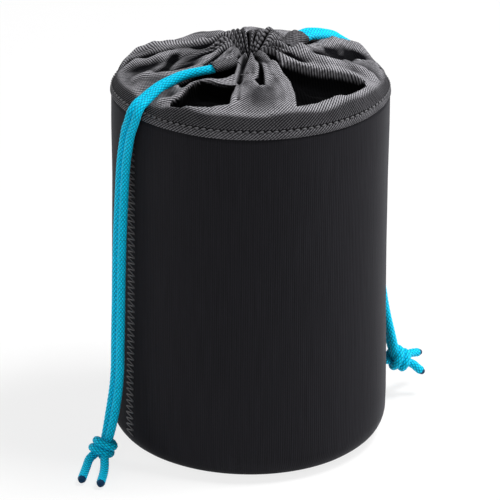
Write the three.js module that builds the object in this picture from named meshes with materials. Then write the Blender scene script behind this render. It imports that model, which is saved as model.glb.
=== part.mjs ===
// A padded round pouch for a camera lens, closed on top by a collar with two drawcords.
// Millimetres, +Z up. The origin is the middle of the underside, and the front faces -Y.
import * as THREE from 'three';

// Sleeve, lining and base
const CLEARANCE = 0.3; // between neighbouring pieces
const BORE_RADIUS = 45; // free space for the lens
const LINING = 0.9; // thickness of the lining cloth
const WALL = 3.8; // thickness of the neoprene
const SLEEVE_HEIGHT = 136;
const BASE_EDGE_RADIUS = 9; // outside rounding where the sleeve turns under
const LIP_LENGTH = 1; // flat stretch of the sleeve's underside
const SEAM_BEVEL = 0.9; // slant of the two edges that meet in the base seam
const PAD_THICKNESS = 3; // foam under the base lining

// Sewing threads
const SEAM_AZIMUTH = 212.5; // degrees from +X
const SEAM_WIDTH = 4;
const SEAM_PITCH = 2.4; // one zigzag
const SEAM_THREAD_RADIUS = 0.25;
const TOPSTITCH_RADIUS = 0.3;

// Collar band: a folded hem over the sleeve's top edge
const HEM_OVERLAP = 2.1; // how far the hem reaches down the sleeve
const HEM_THICKNESS = 1.5;
const HEM_PROUD = 0.4; // how far the hem stands out past the sleeve
const BAND_TOP_THICKNESS = 0.8;
const BAND_INNER_SETBACK = 0.5; // from the bore to the band's inner edge
const TOPSTITCH_GROOVE_DEPTH = 0.7;
const TOPSTITCH_GROOVE_WIDTH = 1.4;

// Collar gores: one wedge of cloth between each pair of pleats
const PLEAT_AZIMUTHS = [241, 280, 320, 371, 415, 460, 505, 551]; // degrees from +X
const CLOTH = 1.2; // two layers of twill
const ROOT_SETBACK = 1; // from the sleeve's outside to a gore's root
const MOUTH_RADIUS = 6.5; // hole left when the collar is drawn shut
const COLLAR_RISE = 12.4; // from a gore's root to the mouth
const COLLAR_ROUNDING = 1.5; // above 1 the collar domes, at 1 it is a cone
const PLEAT_DEPTH = 6;
const GORE_GAP = 0.5;
const GORE_ROWS = 8;
const GORE_STEPS = 6;

// Drawcords and the channel that they run in
const CORD_DIAMETER = 3.2;
const RUN_OVERLAP = 0.2; // how far the two strands in the channel press into each other
const CHANNEL_SLACK = 0.6; // around the strands
const STRAND_PITCH = 3.7; // between the two strands of a pair outside the channel
const EXIT_WALL = 0.9; // rolled cloth around the place where a pair comes out
const EXIT_LENGTH = 3.5;
const LEAD_INSET = 0.4; // how deep a strand starts inside its exit roll
const KNOT_RADIUS = 5.2;

// Each drawcord's free ends. The lead lies on the collar, in degrees from the cord's azimuth and radius. The
// hang goes from the rim to the knot, in degrees, radius and height. The knot is the radius and height of its
// middle, and the cut tails are outward, sideways and up from there.
const LEFT_CORD = {
  azimuth: 212, // degrees from +X
  lead: [[24.8, 26.9], [19.2, 28.6], [14.1, 30.9], [10.8, 34], [8.5, 37.4], [6.9, 41], [6.6, 46]],
  hang: [
    [6.7, 46.9, 142], [7.2, 50.6, 141.8], [7.3, 53.4, 138.6], [6.4, 53.2, 135], [4.9, 53, 132], [3.6, 53, 128],
    [1.9, 53.2, 121], [0.9, 53.4, 115], [0.2, 53.7, 105], [0, 54.7, 82], [0, 55.5, 47], [0, 56, 32],
    [0, 57.6, 21], [0, 59.8, 10.8],
  ],
  knot: [62, 5.6],
  tails: {
    a: [[5.7, 0.6, -2.5], [10, 5, -3.6], [16.5, 12.9, -3.7]],
    b: [[2.4, 5.3, -2.6], [6, 11, -3.6], [12.3, 19.2, -3.7]],
  },
};
const RIGHT_CORD = {
  azimuth: 25,
  lead: [[-7.6, 17.7], [-0.6, 22.2], [4, 27], [7.2, 32], [10, 37.3], [12.4, 42.2], [13.9, 45.9]],
  hang: [
    [14.3, 46.9, 142], [15, 50.6, 141.8], [15.3, 53.4, 138.6], [15, 53, 128], [13, 53.6, 105],
    [10.5, 54.7, 82], [7, 55.5, 55], [3.8, 57, 36], [0.5, 59.6, 20.4],
  ],
  knot: [61.5, 15],
  tails: {
    a: [[5.5, 2.6, -0.6], [8, 4, -1], [12.4, 5.4, -2]],
    b: [[5.1, -2.4, -2.2], [7, -3.2, -4], [9.2, -3.4, -6]],
  },
};

// Facets
const ROUND_SEGMENTS = 48;
const EDGE_STEPS = 4;
const CORD_CURVE_SEGMENTS = 4; // makes an eight-sided cord
const LEAD_STEPS = 7;
const HANG_STEPS = 22;
const TAIL_STEPS = 3;

// Sizes that follow from the driving ones
const SLEEVE_INNER = BORE_RADIUS + LINING + CLEARANCE;
const SLEEVE_OUTER = SLEEVE_INNER + WALL;
const INNER_EDGE_RADIUS = Math.max(BASE_EDGE_RADIUS - WALL, CLEARANCE);
const EDGE_CENTRE = SLEEVE_OUTER - BASE_EDGE_RADIUS;
const LIP_RADIUS = EDGE_CENTRE - LIP_LENGTH;
const BASE_RADIUS = LIP_RADIUS - CLEARANCE;
const PAD_BOTTOM = WALL + CLEARANCE;
const PAD_TOP = PAD_BOTTOM + PAD_THICKNESS;
const LINING_FOOT = PAD_TOP + CLEARANCE;
const HEM_BOTTOM = SLEEVE_HEIGHT - HEM_OVERLAP;
const HEM_OUTER = SLEEVE_OUTER + HEM_PROUD;
const HEM_INNER = HEM_OUTER - HEM_THICKNESS;
const BAND_INNER = BORE_RADIUS + BAND_INNER_SETBACK;
const BAND_FLOOR = SLEEVE_HEIGHT + CLEARANCE;
const BAND_TOP = BAND_FLOOR + BAND_TOP_THICKNESS;
const GORE_ROOT = SLEEVE_OUTER - ROOT_SETBACK;
const ROOT_HEIGHT = BAND_TOP + CLEARANCE + CLOTH;
const CORD_RADIUS = CORD_DIAMETER / 2;
const RUN_PITCH = CORD_DIAMETER - RUN_OVERLAP;
const CHANNEL_WIDTH = RUN_PITCH + CORD_DIAMETER + 2 * CHANNEL_SLACK + 2 * CLOTH;
const CHANNEL_DEPTH = CORD_DIAMETER + 2 * CHANNEL_SLACK + 2 * CLOTH;
const CHANNEL_END = MOUTH_RADIUS + CHANNEL_WIDTH;
const EXIT_LIFT = CLEARANCE + EXIT_WALL + CLEARANCE + CORD_RADIUS; // strand above the gore, in the roll
const RIM_LIFT = CLEARANCE + CORD_RADIUS; // strand above the gore, at the rim
const EXIT_HALF_WIDTH = STRAND_PITCH / 2 + CORD_RADIUS + CLEARANCE + EXIT_WALL;

// Materials
const neoprene = new THREE.MeshStandardMaterial({ color: 0x1c1c20, roughness: 0.85, metalness: 0 });
const twill = new THREE.MeshStandardMaterial({ color: 0x3e3e40, roughness: 0.8, metalness: 0 });
const liningCloth = new THREE.MeshStandardMaterial({ color: 0x242426, roughness: 0.9, metalness: 0 });
const foam = new THREE.MeshStandardMaterial({ color: 0x55565a, roughness: 0.95, metalness: 0 });
const thread = new THREE.MeshStandardMaterial({ color: 0x0e0e10, roughness: 0.6, metalness: 0 });
const braid = new THREE.MeshStandardMaterial({ color: 0x1496d2, roughness: 0.6, metalness: 0 });

const pouch = new THREE.Group();

function addPiece(group, name, geometry, material) {
  const piece = new THREE.Mesh(geometry, material);
  piece.name = name;
  group.add(piece);
}

// A ring turned about Z from a closed outline of [radius, height], outside first and going up
function turned(outline) {
  const points = [...outline, outline[0]].map(([radius, height]) => new THREE.Vector2(radius, height));
  return new THREE.LatheGeometry(points, ROUND_SEGMENTS).rotateX(Math.PI / 2);
}

function disc(bottomRadius, topRadius, bottom, thickness) {
  const geometry = new THREE.CylinderGeometry(topRadius, bottomRadius, thickness, ROUND_SEGMENTS);
  return geometry.rotateX(Math.PI / 2).translate(0, 0, bottom + thickness / 2);
}

// Points of a quarter turn in the [radius, height] plane, angles in degrees
function arc(centreRadius, centreHeight, radius, from, to) {
  return Array.from({ length: EDGE_STEPS + 1 }, (_, step) => {
    const angle = THREE.MathUtils.degToRad(from + ((to - from) * step) / EDGE_STEPS);
    return [centreRadius + radius * Math.cos(angle), centreHeight + radius * Math.sin(angle)];
  });
}

function tube(points, radius, steps) {
  const section = new THREE.Shape();
  section.absarc(0, 0, radius, 0, 2 * Math.PI);
  const extrudePath = new THREE.CatmullRomCurve3(points);
  return new THREE.ExtrudeGeometry(section, {
    extrudePath, steps, bevelEnabled: false, curveSegments: CORD_CURVE_SEGMENTS,
  });
}

// Sleeve: a tube whose lower edge turns under to meet the base
function addSleeve() {
  const innerCentre = SLEEVE_INNER - INNER_EDGE_RADIUS;
  const innerFloor = WALL + INNER_EDGE_RADIUS;
  const rebate = HEM_INNER - CLEARANCE;
  const outline = [
    [LIP_RADIUS + SEAM_BEVEL, 0],
    ...arc(EDGE_CENTRE, BASE_EDGE_RADIUS, BASE_EDGE_RADIUS, -90, 0),
    [SLEEVE_OUTER, HEM_BOTTOM - CLEARANCE],
    [rebate, HEM_BOTTOM - CLEARANCE],
    [rebate, SLEEVE_HEIGHT],
    [SLEEVE_INNER, SLEEVE_HEIGHT],
    ...arc(innerCentre, innerFloor, INNER_EDGE_RADIUS, 0, -90),
    [LIP_RADIUS, WALL],
  ];
  addPiece(pouch, 'outer_sleeve', turned(outline), neoprene);

  const liningOuter = BORE_RADIUS + LINING;
  const liningFoot = Math.max(LINING_FOOT, innerFloor + CLEARANCE);
  const lining = [
    [liningOuter, liningFoot],
    [liningOuter, SLEEVE_HEIGHT],
    [BORE_RADIUS, SLEEVE_HEIGHT],
    [BORE_RADIUS, liningFoot],
  ];
  addPiece(pouch, 'sleeve_lining', turned(lining), liningCloth);
}

function addBase() {
  addPiece(pouch, 'base_disc', disc(BASE_RADIUS - SEAM_BEVEL, BASE_RADIUS, 0, WALL), neoprene);
  addPiece(pouch, 'base_pad', disc(EDGE_CENTRE, EDGE_CENTRE, PAD_BOTTOM, PAD_THICKNESS), foam);
  const liningRadius = BORE_RADIUS - CLEARANCE;
  addPiece(pouch, 'base_lining', disc(liningRadius, liningRadius, LINING_FOOT, LINING), liningCloth);

  const seamRadius = (LIP_RADIUS + BASE_RADIUS) / 2;
  const seam = new THREE.TorusGeometry(seamRadius, SEAM_THREAD_RADIUS, 6, ROUND_SEGMENTS);
  seam.translate(0, 0, SEAM_THREAD_RADIUS + CLEARANCE);
  addPiece(pouch, 'base_seam_thread', seam, thread);
}

// Zigzag thread of the upright seam, a flat ribbon laid on the sleeve
function addSideSeam() {
  const bottom = BASE_EDGE_RADIUS;
  const top = HEM_BOTTOM - CLEARANCE - SEAM_THREAD_RADIUS;
  const turns = Math.round((2 * (top - bottom)) / SEAM_PITCH);
  const rise = (top - bottom) / turns;
  const halfRibbon = (SEAM_THREAD_RADIUS * Math.hypot(SEAM_WIDTH, rise)) / rise; // across the slanting thread
  const edge = (shift) => Array.from({ length: turns + 1 }, (_, turn) => {
    const side = turn % 2 ? 1 : -1;
    return new THREE.Vector2((side * SEAM_WIDTH) / 2 + shift, bottom + rise * turn);
  });
  const ribbon = new THREE.Shape([...edge(halfRibbon), ...edge(-halfRibbon).reverse()]);
  const geometry = new THREE.ExtrudeGeometry(ribbon, { depth: 2 * SEAM_THREAD_RADIUS, bevelEnabled: false });
  geometry.rotateX(Math.PI / 2).rotateZ(Math.PI / 2);
  geometry.translate(SLEEVE_OUTER + CLEARANCE, 0, 0);
  const seam = new THREE.Group();
  seam.rotation.z = THREE.MathUtils.degToRad(SEAM_AZIMUTH);
  pouch.add(seam);
  addPiece(seam, 'side_seam_thread', geometry, thread);
}

// Band: the hem that grips the sleeve's top edge, grooved for its row of topstitching
function addCollarBand() {
  const grooveMiddle = (HEM_BOTTOM + BAND_TOP) / 2;
  const grooveBottom = grooveMiddle - TOPSTITCH_GROOVE_WIDTH / 2;
  const grooveTop = grooveMiddle + TOPSTITCH_GROOVE_WIDTH / 2;
  const grooveRadius = HEM_OUTER - TOPSTITCH_GROOVE_DEPTH;
  const outline = [
    [HEM_OUTER, HEM_BOTTOM],
    [HEM_OUTER, grooveBottom],
    [grooveRadius, grooveBottom],
    [grooveRadius, grooveTop],
    [HEM_OUTER, grooveTop],
    [HEM_OUTER, BAND_FLOOR],
    [HEM_OUTER - BAND_TOP_THICKNESS, BAND_TOP],
    [BAND_INNER, BAND_TOP],
    [BAND_INNER, BAND_FLOOR],
    [HEM_INNER, BAND_FLOOR],
    [HEM_INNER, HEM_BOTTOM],
  ];
  addPiece(pouch, 'collar_band', turned(outline), twill);

  const stitchRadius = grooveRadius + CLEARANCE + TOPSTITCH_RADIUS;
  const stitch = new THREE.TorusGeometry(stitchRadius, TOPSTITCH_RADIUS, 6, ROUND_SEGMENTS);
  stitch.translate(0, 0, grooveMiddle);
  addPiece(pouch, 'rim_topstitch', stitch, thread);
}

// How far in from its root a place on a gore is: 0 at the root, 1 at the mouth
function inward(radius) {
  return (GORE_ROOT - radius) / (GORE_ROOT - MOUTH_RADIUS);
}

// Height of a gore's outside: across is 0 on its middle line and 1 or -1 in the pleats beside it
function goreTop(radius, across) {
  const dome = COLLAR_RISE * (1 - (1 - inward(radius)) ** COLLAR_ROUNDING);
  return ROOT_HEIGHT + dome - PLEAT_DEPTH * Math.sin(Math.PI * inward(radius)) * across ** 2;
}

// Height of the collar's outside at any azimuth
function collarTop(radius, azimuth) {
  const first = PLEAT_AZIMUTHS[0];
  const edges = [...PLEAT_AZIMUTHS, first + 360];
  const angle = first + THREE.MathUtils.euclideanModulo(azimuth - first, 360);
  const place = edges.findLastIndex((edge) => edge <= angle);
  return goreTop(radius, (2 * (angle - edges[place])) / (edges[place + 1] - edges[place]) - 1);
}

// A solid swept across a gore from loops of [radius, depth below the gore's outside].
// The first loop is the outside, the others are tunnels, and each side falls into its pleat.
function sweptAcross(loops, halfAngle) {
  const size = loops.flat().length;
  const positions = [];
  for (let step = 0; step <= GORE_STEPS; step += 1) {
    const across = (2 * step) / GORE_STEPS - 1;
    for (const [radius, depth] of loops.flat()) {
      const angle = across * (halfAngle - Math.asin(GORE_GAP / 2 / radius));
      positions.push(radius * Math.cos(angle), radius * Math.sin(angle), goreTop(radius, across) - depth);
    }
  }
  const index = [];
  let start = 0;
  for (const loop of loops) {
    for (let corner = 0; corner < loop.length; corner += 1) {
      const here = start + corner;
      const next = start + ((corner + 1) % loop.length);
      for (let step = 0; step < GORE_STEPS; step += 1) {
        const row = step * size;
        index.push(row + here, row + size + here, row + next);
        index.push(row + next, row + size + here, row + size + next);
      }
    }
    start += loop.length;
  }
  const flat = loops.map((loop) => loop.map(([radius, depth]) => (
    new THREE.Vector2(radius, goreTop(radius, 1) - depth)
  )));
  const endRow = GORE_STEPS * size;
  for (const [a, b, c] of THREE.ShapeUtils.triangulateShape(flat[0], flat.slice(1))) {
    index.push(a, b, c);
    index.push(endRow + c, endRow + b, endRow + a);
  }
  const geometry = new THREE.BufferGeometry();
  geometry.setAttribute('position', new THREE.Float32BufferAttribute(positions, 3));
  geometry.setIndex(index);
  return geometry;
}

// Section of a gore: cloth from the root to the mouth, with a tunnel along the mouth for the cords
function goreLoops() {
  const along = (from, to, depth) => Array.from({ length: GORE_ROWS + 1 }, (_, row) => [
    from + ((to - from) * row) / GORE_ROWS, depth,
  ]);
  const outside = [
    ...along(GORE_ROOT, MOUTH_RADIUS, 0),
    [MOUTH_RADIUS, CHANNEL_DEPTH],
    [CHANNEL_END, CHANNEL_DEPTH],
    ...along(CHANNEL_END, GORE_ROOT, CLOTH),
  ];
  const tunnelStart = MOUTH_RADIUS + CLOTH;
  const tunnelEnd = CHANNEL_END - CLOTH;
  const tunnelFloor = CHANNEL_DEPTH - CLOTH;
  const tunnel = [
    [tunnelStart, CLOTH],
    [tunnelEnd, CLOTH],
    [tunnelEnd, tunnelFloor],
    [tunnelStart, tunnelFloor],
  ];
  return [outside, tunnel];
}

// Section of the two strands side by side in the tunnel
function runLoop() {
  const sides = 2 * CORD_CURVE_SEGMENTS;
  const nearMouth = MOUTH_RADIUS + CLOTH + CHANNEL_SLACK + CORD_RADIUS;
  const halfRun = (centre, from) => Array.from({ length: sides / 2 + 1 }, (_, corner) => {
    const angle = from + ((corner - sides / 4) * 2 * Math.PI) / (sides + 1);
    return [centre + CORD_RADIUS * Math.cos(angle), CHANNEL_DEPTH / 2 - CORD_RADIUS * Math.sin(angle)];
  });
  return [...halfRun(nearMouth, Math.PI), ...halfRun(nearMouth + RUN_PITCH, 0)];
}

function addGores() {
  PLEAT_AZIMUTHS.forEach((azimuth, place) => {
    const next = PLEAT_AZIMUTHS[place + 1] ?? PLEAT_AZIMUTHS[0] + 360;
    const halfAngle = THREE.MathUtils.degToRad((next - azimuth) / 2);
    const gore = new THREE.Group();
    gore.rotation.z = THREE.MathUtils.degToRad((azimuth + next) / 2);
    pouch.add(gore);
    addPiece(gore, `collar_gore_${place + 1}`, sweptAcross(goreLoops(), halfAngle), twill);
    addPiece(gore, `channel_cord_run_${place + 1}`, sweptAcross([runLoop()], halfAngle), braid);
  });
}

// Flat ring of rolled cloth, round-ended, that a pair of strands comes out of
function exitRoll(from, towards) {
  const outline = (radius) => {
    const path = new THREE.Path();
    path.absarc(0, STRAND_PITCH / 2, radius, 0, Math.PI, false);
    path.absarc(0, -STRAND_PITCH / 2, radius, Math.PI, 2 * Math.PI, false);
    return path;
  };
  const hole = CORD_RADIUS + CLEARANCE;
  const roll = new THREE.Shape(outline(hole + EXIT_WALL).getPoints(CORD_CURVE_SEGMENTS));
  roll.holes.push(outline(hole));
  const way = towards.clone().sub(from);
  const geometry = new THREE.ExtrudeGeometry(roll, {
    depth: EXIT_LENGTH, bevelEnabled: false, curveSegments: CORD_CURVE_SEGMENTS,
  });
  geometry.rotateY(Math.PI / 2 + Math.atan2(-way.z, Math.hypot(way.x, way.y)));
  geometry.rotateZ(Math.atan2(way.y, way.x));
  return geometry.translate(from.x, from.y, from.z);
}

// The points of a line moved sideways on the pouch, for one strand of a pair
function beside(line, shift) {
  return line.map((point, place) => {
    const along = line[Math.min(place + 1, line.length - 1)].clone().sub(line[Math.max(place - 1, 0)]);
    const steep = Math.abs(along.z) / along.length();
    const away = new THREE.Vector3(point.x, point.y, 0).setLength(steep).setZ(1 - steep); // from the pouch
    return away.cross(along).setLength(shift).add(point);
  });
}

// One drawcord's free ends: out of the collar, over the rim, down the side and into a knot
function addDrawcord(side, { azimuth, lead, hang, knot, tails }) {
  const cord = new THREE.Group();
  cord.rotation.z = THREE.MathUtils.degToRad(azimuth);
  pouch.add(cord);

  const place = (turn, radius, height) => {
    const angle = THREE.MathUtils.degToRad(turn);
    return new THREE.Vector3(radius * Math.cos(angle), radius * Math.sin(angle), height);
  };
  const leadLine = lead.map(([turn, radius], point) => {
    const lift = THREE.MathUtils.lerp(EXIT_LIFT, RIM_LIFT, point / (lead.length - 1));
    const reach = THREE.MathUtils.radToDeg(EXIT_HALF_WIDTH / radius);
    const under = [-reach, 0, reach].map((step) => collarTop(radius, azimuth + turn + step));
    return place(turn, radius, Math.max(...under) + lift);
  });
  addPiece(cord, `${side}_channel_exit`, exitRoll(leadLine[0], leadLine[1]), twill);

  const line = [...leadLine, ...hang.map((point) => place(...point))];
  const middle = new THREE.Vector3(knot[0], 0, knot[1]);
  for (const [strand, shift] of [['a', -STRAND_PITCH / 2], ['b', STRAND_PITCH / 2]]) {
    const route = beside(line, shift);
    const onCollar = route.slice(0, lead.length);
    onCollar[0].lerp(onCollar[1], LEAD_INSET / onCollar[0].distanceTo(onCollar[1]));
    addPiece(cord, `${side}_cord_lead_${strand}`, tube(onCollar, CORD_RADIUS, LEAD_STEPS), braid);
    addPiece(cord, `${side}_cord_hang_${strand}`, tube(route.slice(lead.length), CORD_RADIUS, HANG_STEPS), braid);
    const tail = tails[strand].map((offset) => new THREE.Vector3(...offset).add(middle));
    addPiece(cord, `${side}_cord_tail_${strand}`, tube(tail, CORD_RADIUS, TAIL_STEPS), braid);
  }
  const ball = new THREE.SphereGeometry(KNOT_RADIUS, 14, 10).translate(middle.x, middle.y, middle.z);
  addPiece(cord, `${side}_cord_knot`, ball, braid);
}

addSleeve();
addBase();
addSideSeam();
addCollarBand();
addGores();
addDrawcord('left', LEFT_CORD);
addDrawcord('right', RIGHT_CORD);

export default pouch;
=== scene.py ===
# %% [markdown]
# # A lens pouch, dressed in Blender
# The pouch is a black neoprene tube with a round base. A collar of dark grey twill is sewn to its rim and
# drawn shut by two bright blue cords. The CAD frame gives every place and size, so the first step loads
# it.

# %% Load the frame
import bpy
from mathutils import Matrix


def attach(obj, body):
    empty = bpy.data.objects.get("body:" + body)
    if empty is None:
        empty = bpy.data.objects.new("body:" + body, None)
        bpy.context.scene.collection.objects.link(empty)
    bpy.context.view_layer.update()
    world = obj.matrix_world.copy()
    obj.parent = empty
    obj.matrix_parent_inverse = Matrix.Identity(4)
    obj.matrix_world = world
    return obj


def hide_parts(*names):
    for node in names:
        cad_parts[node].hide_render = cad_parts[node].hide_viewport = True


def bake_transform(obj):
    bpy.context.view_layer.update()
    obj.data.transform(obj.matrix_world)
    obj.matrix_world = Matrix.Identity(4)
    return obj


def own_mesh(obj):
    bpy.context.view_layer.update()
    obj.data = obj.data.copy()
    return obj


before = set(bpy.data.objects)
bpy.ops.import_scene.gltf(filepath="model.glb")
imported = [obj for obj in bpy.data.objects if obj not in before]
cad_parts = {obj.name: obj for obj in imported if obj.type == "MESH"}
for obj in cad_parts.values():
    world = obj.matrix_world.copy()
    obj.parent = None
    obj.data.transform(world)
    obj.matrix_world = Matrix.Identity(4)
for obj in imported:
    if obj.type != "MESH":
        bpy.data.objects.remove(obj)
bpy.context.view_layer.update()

# %% [markdown]
# ## Camera
# The photograph looks down at the pouch from the front with a long lens. The camera could be framed by
# eye, but its height, distance and tiny roll were measured from the sleeve's outline, so they are set as
# numbers.

# %% Set the camera
import math

import bmesh
import bpy
import numpy as np
from mathutils import Matrix, Vector, noise

CAMERA_ELEVATION = math.radians(23.5)
CAMERA_ROLL = math.radians(0.46)
CAMERA_DISTANCE = 1.6
AIM_HEIGHT = 0.07
FOCAL_LENGTH_PIXELS = 4395
IMAGE_PIXELS = 500
SENSOR_WIDTH = 36
SHIFT_PIXELS = 0.6

camera_data = bpy.data.cameras.new("photo_camera")
camera_data.sensor_width = SENSOR_WIDTH
camera_data.lens = SENSOR_WIDTH * FOCAL_LENGTH_PIXELS / IMAGE_PIXELS
camera_data.shift_x = SHIFT_PIXELS / IMAGE_PIXELS
camera = bpy.data.objects.new("photo_camera", camera_data)
bpy.context.collection.objects.link(camera)
towards_camera = Vector((0, -math.cos(CAMERA_ELEVATION), math.sin(CAMERA_ELEVATION)))
camera.location = Vector((0, 0, AIM_HEIGHT)) + CAMERA_DISTANCE * towards_camera
upright = towards_camera.to_track_quat("Z", "Y").to_matrix()
camera.rotation_euler = (upright @ Matrix.Rotation(CAMERA_ROLL, 3, "Z")).to_euler()
bpy.context.scene.camera = camera
print("camera at", [round(x, 3) for x in camera.location])

# %% [markdown]
# ## Floor and light
# The picture has a plain white ground. A floor in one colour could be lit until it is white, but that
# would also burn out the pouch. Instead the floor glows a little for the camera alone, and it still takes
# the soft shadow.

# %% Lay the floor
FLOOR_SIZE = 8
FLOOR_DROP = 0.0002
FLOOR_COLOUR = (0.9, 0.9, 0.9, 1)
FLOOR_GLOW = 0.8
bpy.ops.object.select_all(action="DESELECT")
bpy.ops.mesh.primitive_plane_add(size=FLOOR_SIZE, location=(0, 0, 0))
floor = bpy.context.active_object
floor.name = "studio_floor"
bpy.ops.object.mode_set(mode="EDIT")
bpy.ops.mesh.subdivide(number_cuts=3)
bpy.ops.transform.translate(value=(0, 0, -FLOOR_DROP))
bpy.ops.object.mode_set(mode="OBJECT")


def math_node(tree, operation, first, second):
    """A math node whose two inputs are sockets or numbers."""
    node = tree.nodes.new("ShaderNodeMath")
    node.operation = operation
    for place, value in enumerate((first, second)):
        if isinstance(value, (int, float)):
            node.inputs[place].default_value = value
        else:
            tree.links.new(value, node.inputs[place])
    return node.outputs[0]


def seen_by_camera(tree):
    """A mask that is 1 for camera, glossy and transmission rays."""
    path = tree.nodes.new("ShaderNodeLightPath")
    first = math_node(tree, "MAXIMUM", path.outputs["Is Camera Ray"], path.outputs["Is Glossy Ray"])
    return math_node(tree, "MAXIMUM", first, path.outputs["Is Transmission Ray"])


def mix_shaders(tree, mask, first, second, output):
    """Two shaders mixed by a mask, as the tree's result."""
    mixed = tree.nodes.new("ShaderNodeMixShader")
    tree.links.new(mask, mixed.inputs["Fac"])
    tree.links.new(first.outputs[0], mixed.inputs[1])
    tree.links.new(second.outputs[0], mixed.inputs[2])
    tree.links.new(mixed.outputs[0], tree.nodes.new(output).inputs["Surface"])


floor_paint = bpy.data.materials.new("studio_white")
floor_paint.use_nodes = True
tree = floor_paint.node_tree
tree.nodes.clear()
matt = tree.nodes.new("ShaderNodeBsdfDiffuse")
matt.inputs["Color"].default_value = FLOOR_COLOUR
glow = tree.nodes.new("ShaderNodeEmission")
glowing = math_node(tree, "MULTIPLY", seen_by_camera(tree), FLOOR_GLOW)
mix_shaders(tree, glowing, matt, glow, "ShaderNodeOutputMaterial")
floor.data.materials.append(floor_paint)
print("floor with", len(floor.data.polygons), "faces")

# %% [markdown]
# Black cloth needs large lamps, because small ones give hard highlights. One soft box hangs above on the
# right, a weak one stands in front, and a strip behind each side draws the sleeve's edges. The room is
# dim, and white only where the camera or a reflection looks at it.

# %% Set the light
ROOM_LIGHT = 0.12
LAMP_AIM = Vector((0, 0, 0.1))
world = bpy.data.worlds.new("studio")
bpy.context.scene.world = world
world.use_nodes = True
tree = world.node_tree
tree.nodes.clear()
room = tree.nodes.new("ShaderNodeBackground")
room.inputs["Strength"].default_value = ROOM_LIGHT
backdrop = tree.nodes.new("ShaderNodeBackground")
for part in (room, backdrop):
    part.inputs["Color"].default_value = (1, 1, 1, 1)
mix_shaders(tree, seen_by_camera(tree), room, backdrop, "ShaderNodeOutputWorld")


def add_softbox(name, place, size, watts):
    """A rectangular lamp that looks at the pouch."""
    lamp = bpy.data.lights.new(name, "AREA")
    lamp.shape = "RECTANGLE"
    lamp.size, lamp.size_y = size
    lamp.energy = watts
    box = bpy.data.objects.new(name, lamp)
    bpy.context.collection.objects.link(box)
    box.location = place
    box.rotation_euler = (LAMP_AIM - Vector(place)).to_track_quat("-Z", "Y").to_euler()
    return box


add_softbox("key_softbox", (0.5, -0.05, 1.25), (0.35, 0.35), 17)
add_softbox("front_softbox", (-0.3, -1.2, 0.9), (0.8, 0.8), 4)
add_softbox("right_strip", (1.0, 0.25, 0.45), (0.35, 1.0), 7)
add_softbox("left_strip", (-1.0, 0.3, 0.4), (0.3, 1.0), 4)
bpy.context.scene.view_settings.view_transform = "Standard"

# %% [markdown]
# ## Weave and yarn as node groups
# Twill and knit both come from fine bands in the cloth's own UV map, broken up by noise. Each weave is a
# node group, so that the hem, the collar and the lining can share it. The shader itself stays in each
# material.

# %% Node groups for cloth
WAVE_PERIOD = 2 * math.pi / 20  # a wave texture of scale 1 repeats after this length
BAND_WANDER = 0.6


def new_group(name, inputs, outputs):
    """An empty shader node group with float sockets and one vector input."""
    group = bpy.data.node_groups.new(name, "ShaderNodeTree")
    group.interface.new_socket("Vector", in_out="INPUT", socket_type="NodeSocketVector")
    for label, value in inputs.items():
        socket = group.interface.new_socket(label, in_out="INPUT", socket_type="NodeSocketFloat")
        socket.default_value = value
    for label in outputs:
        group.interface.new_socket(label, in_out="OUTPUT", socket_type="NodeSocketFloat")
    return group, group.nodes.new("NodeGroupInput"), group.nodes.new("NodeGroupOutput")


def band(tree, vector, pitch, turn):
    """Parallel bands across the cloth, turned by an angle in degrees."""
    turned = tree.nodes.new("ShaderNodeMapping")
    turned.inputs["Rotation"].default_value = (0, 0, math.radians(turn))
    tree.links.new(vector, turned.inputs["Vector"])
    wave = tree.nodes.new("ShaderNodeTexWave")
    wave.inputs["Distortion"].default_value = BAND_WANDER
    wave.inputs["Detail"].default_value = 1
    wave.inputs["Scale"].default_value = WAVE_PERIOD / pitch
    tree.links.new(turned.outputs["Vector"], wave.inputs["Vector"])
    return wave.outputs["Fac"]


def speckle(tree, vector, scale, stretch=(1, 1, 1), detail=3):
    """Noise over the cloth, stretched along one direction if need be."""
    mapped = tree.nodes.new("ShaderNodeMapping")
    mapped.inputs["Scale"].default_value = stretch
    tree.links.new(vector, mapped.inputs["Vector"])
    grain = tree.nodes.new("ShaderNodeTexNoise")
    grain.inputs["Scale"].default_value = scale
    grain.inputs["Detail"].default_value = detail
    tree.links.new(mapped.outputs["Vector"], grain.inputs["Vector"])
    return grain.outputs["Fac"]


print("bands repeat after", round(WAVE_PERIOD, 3), "at scale 1")

# %% [markdown]
# Twill has steep ribs, and finer yarns that cross them. Fuzz breaks the ribs up and slow blotches keep
# the colour from being even. Jersey has upright wales with streaks along them and loops that only show as
# relief.

# %% The two weaves
TWILL_PITCH = 0.8
TWILL_ANGLE = 52
YARN_PITCH = 1.1
YARN_SHARE = 0.4
FUZZ_SCALE = 1.6
FUZZ_SHADE = 0.8
BLOTCH_SCALE = 0.16
BLOTCH_SHADE = 0.35
DARKER = 0.4
twill_group, given, result = new_group("twill_weave", {"Fuzz": 0.6}, ["Height", "Shade"])
ribs = band(twill_group, given.outputs["Vector"], TWILL_PITCH, TWILL_ANGLE)
yarns = band(twill_group, given.outputs["Vector"], YARN_PITCH, TWILL_ANGLE - 90)
crossed = math_node(twill_group, "MULTIPLY", yarns, YARN_SHARE)
woven = math_node(twill_group, "MULTIPLY", ribs, math_node(twill_group, "ADD", crossed, 1 - YARN_SHARE))
fuzz = speckle(twill_group, given.outputs["Vector"], FUZZ_SCALE)
fuzzy = math_node(twill_group, "MULTIPLY", fuzz, given.outputs["Fuzz"])
twill_group.links.new(math_node(twill_group, "ADD", woven, fuzzy), result.inputs["Height"])
blotches = speckle(twill_group, given.outputs["Vector"], BLOTCH_SCALE)
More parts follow.
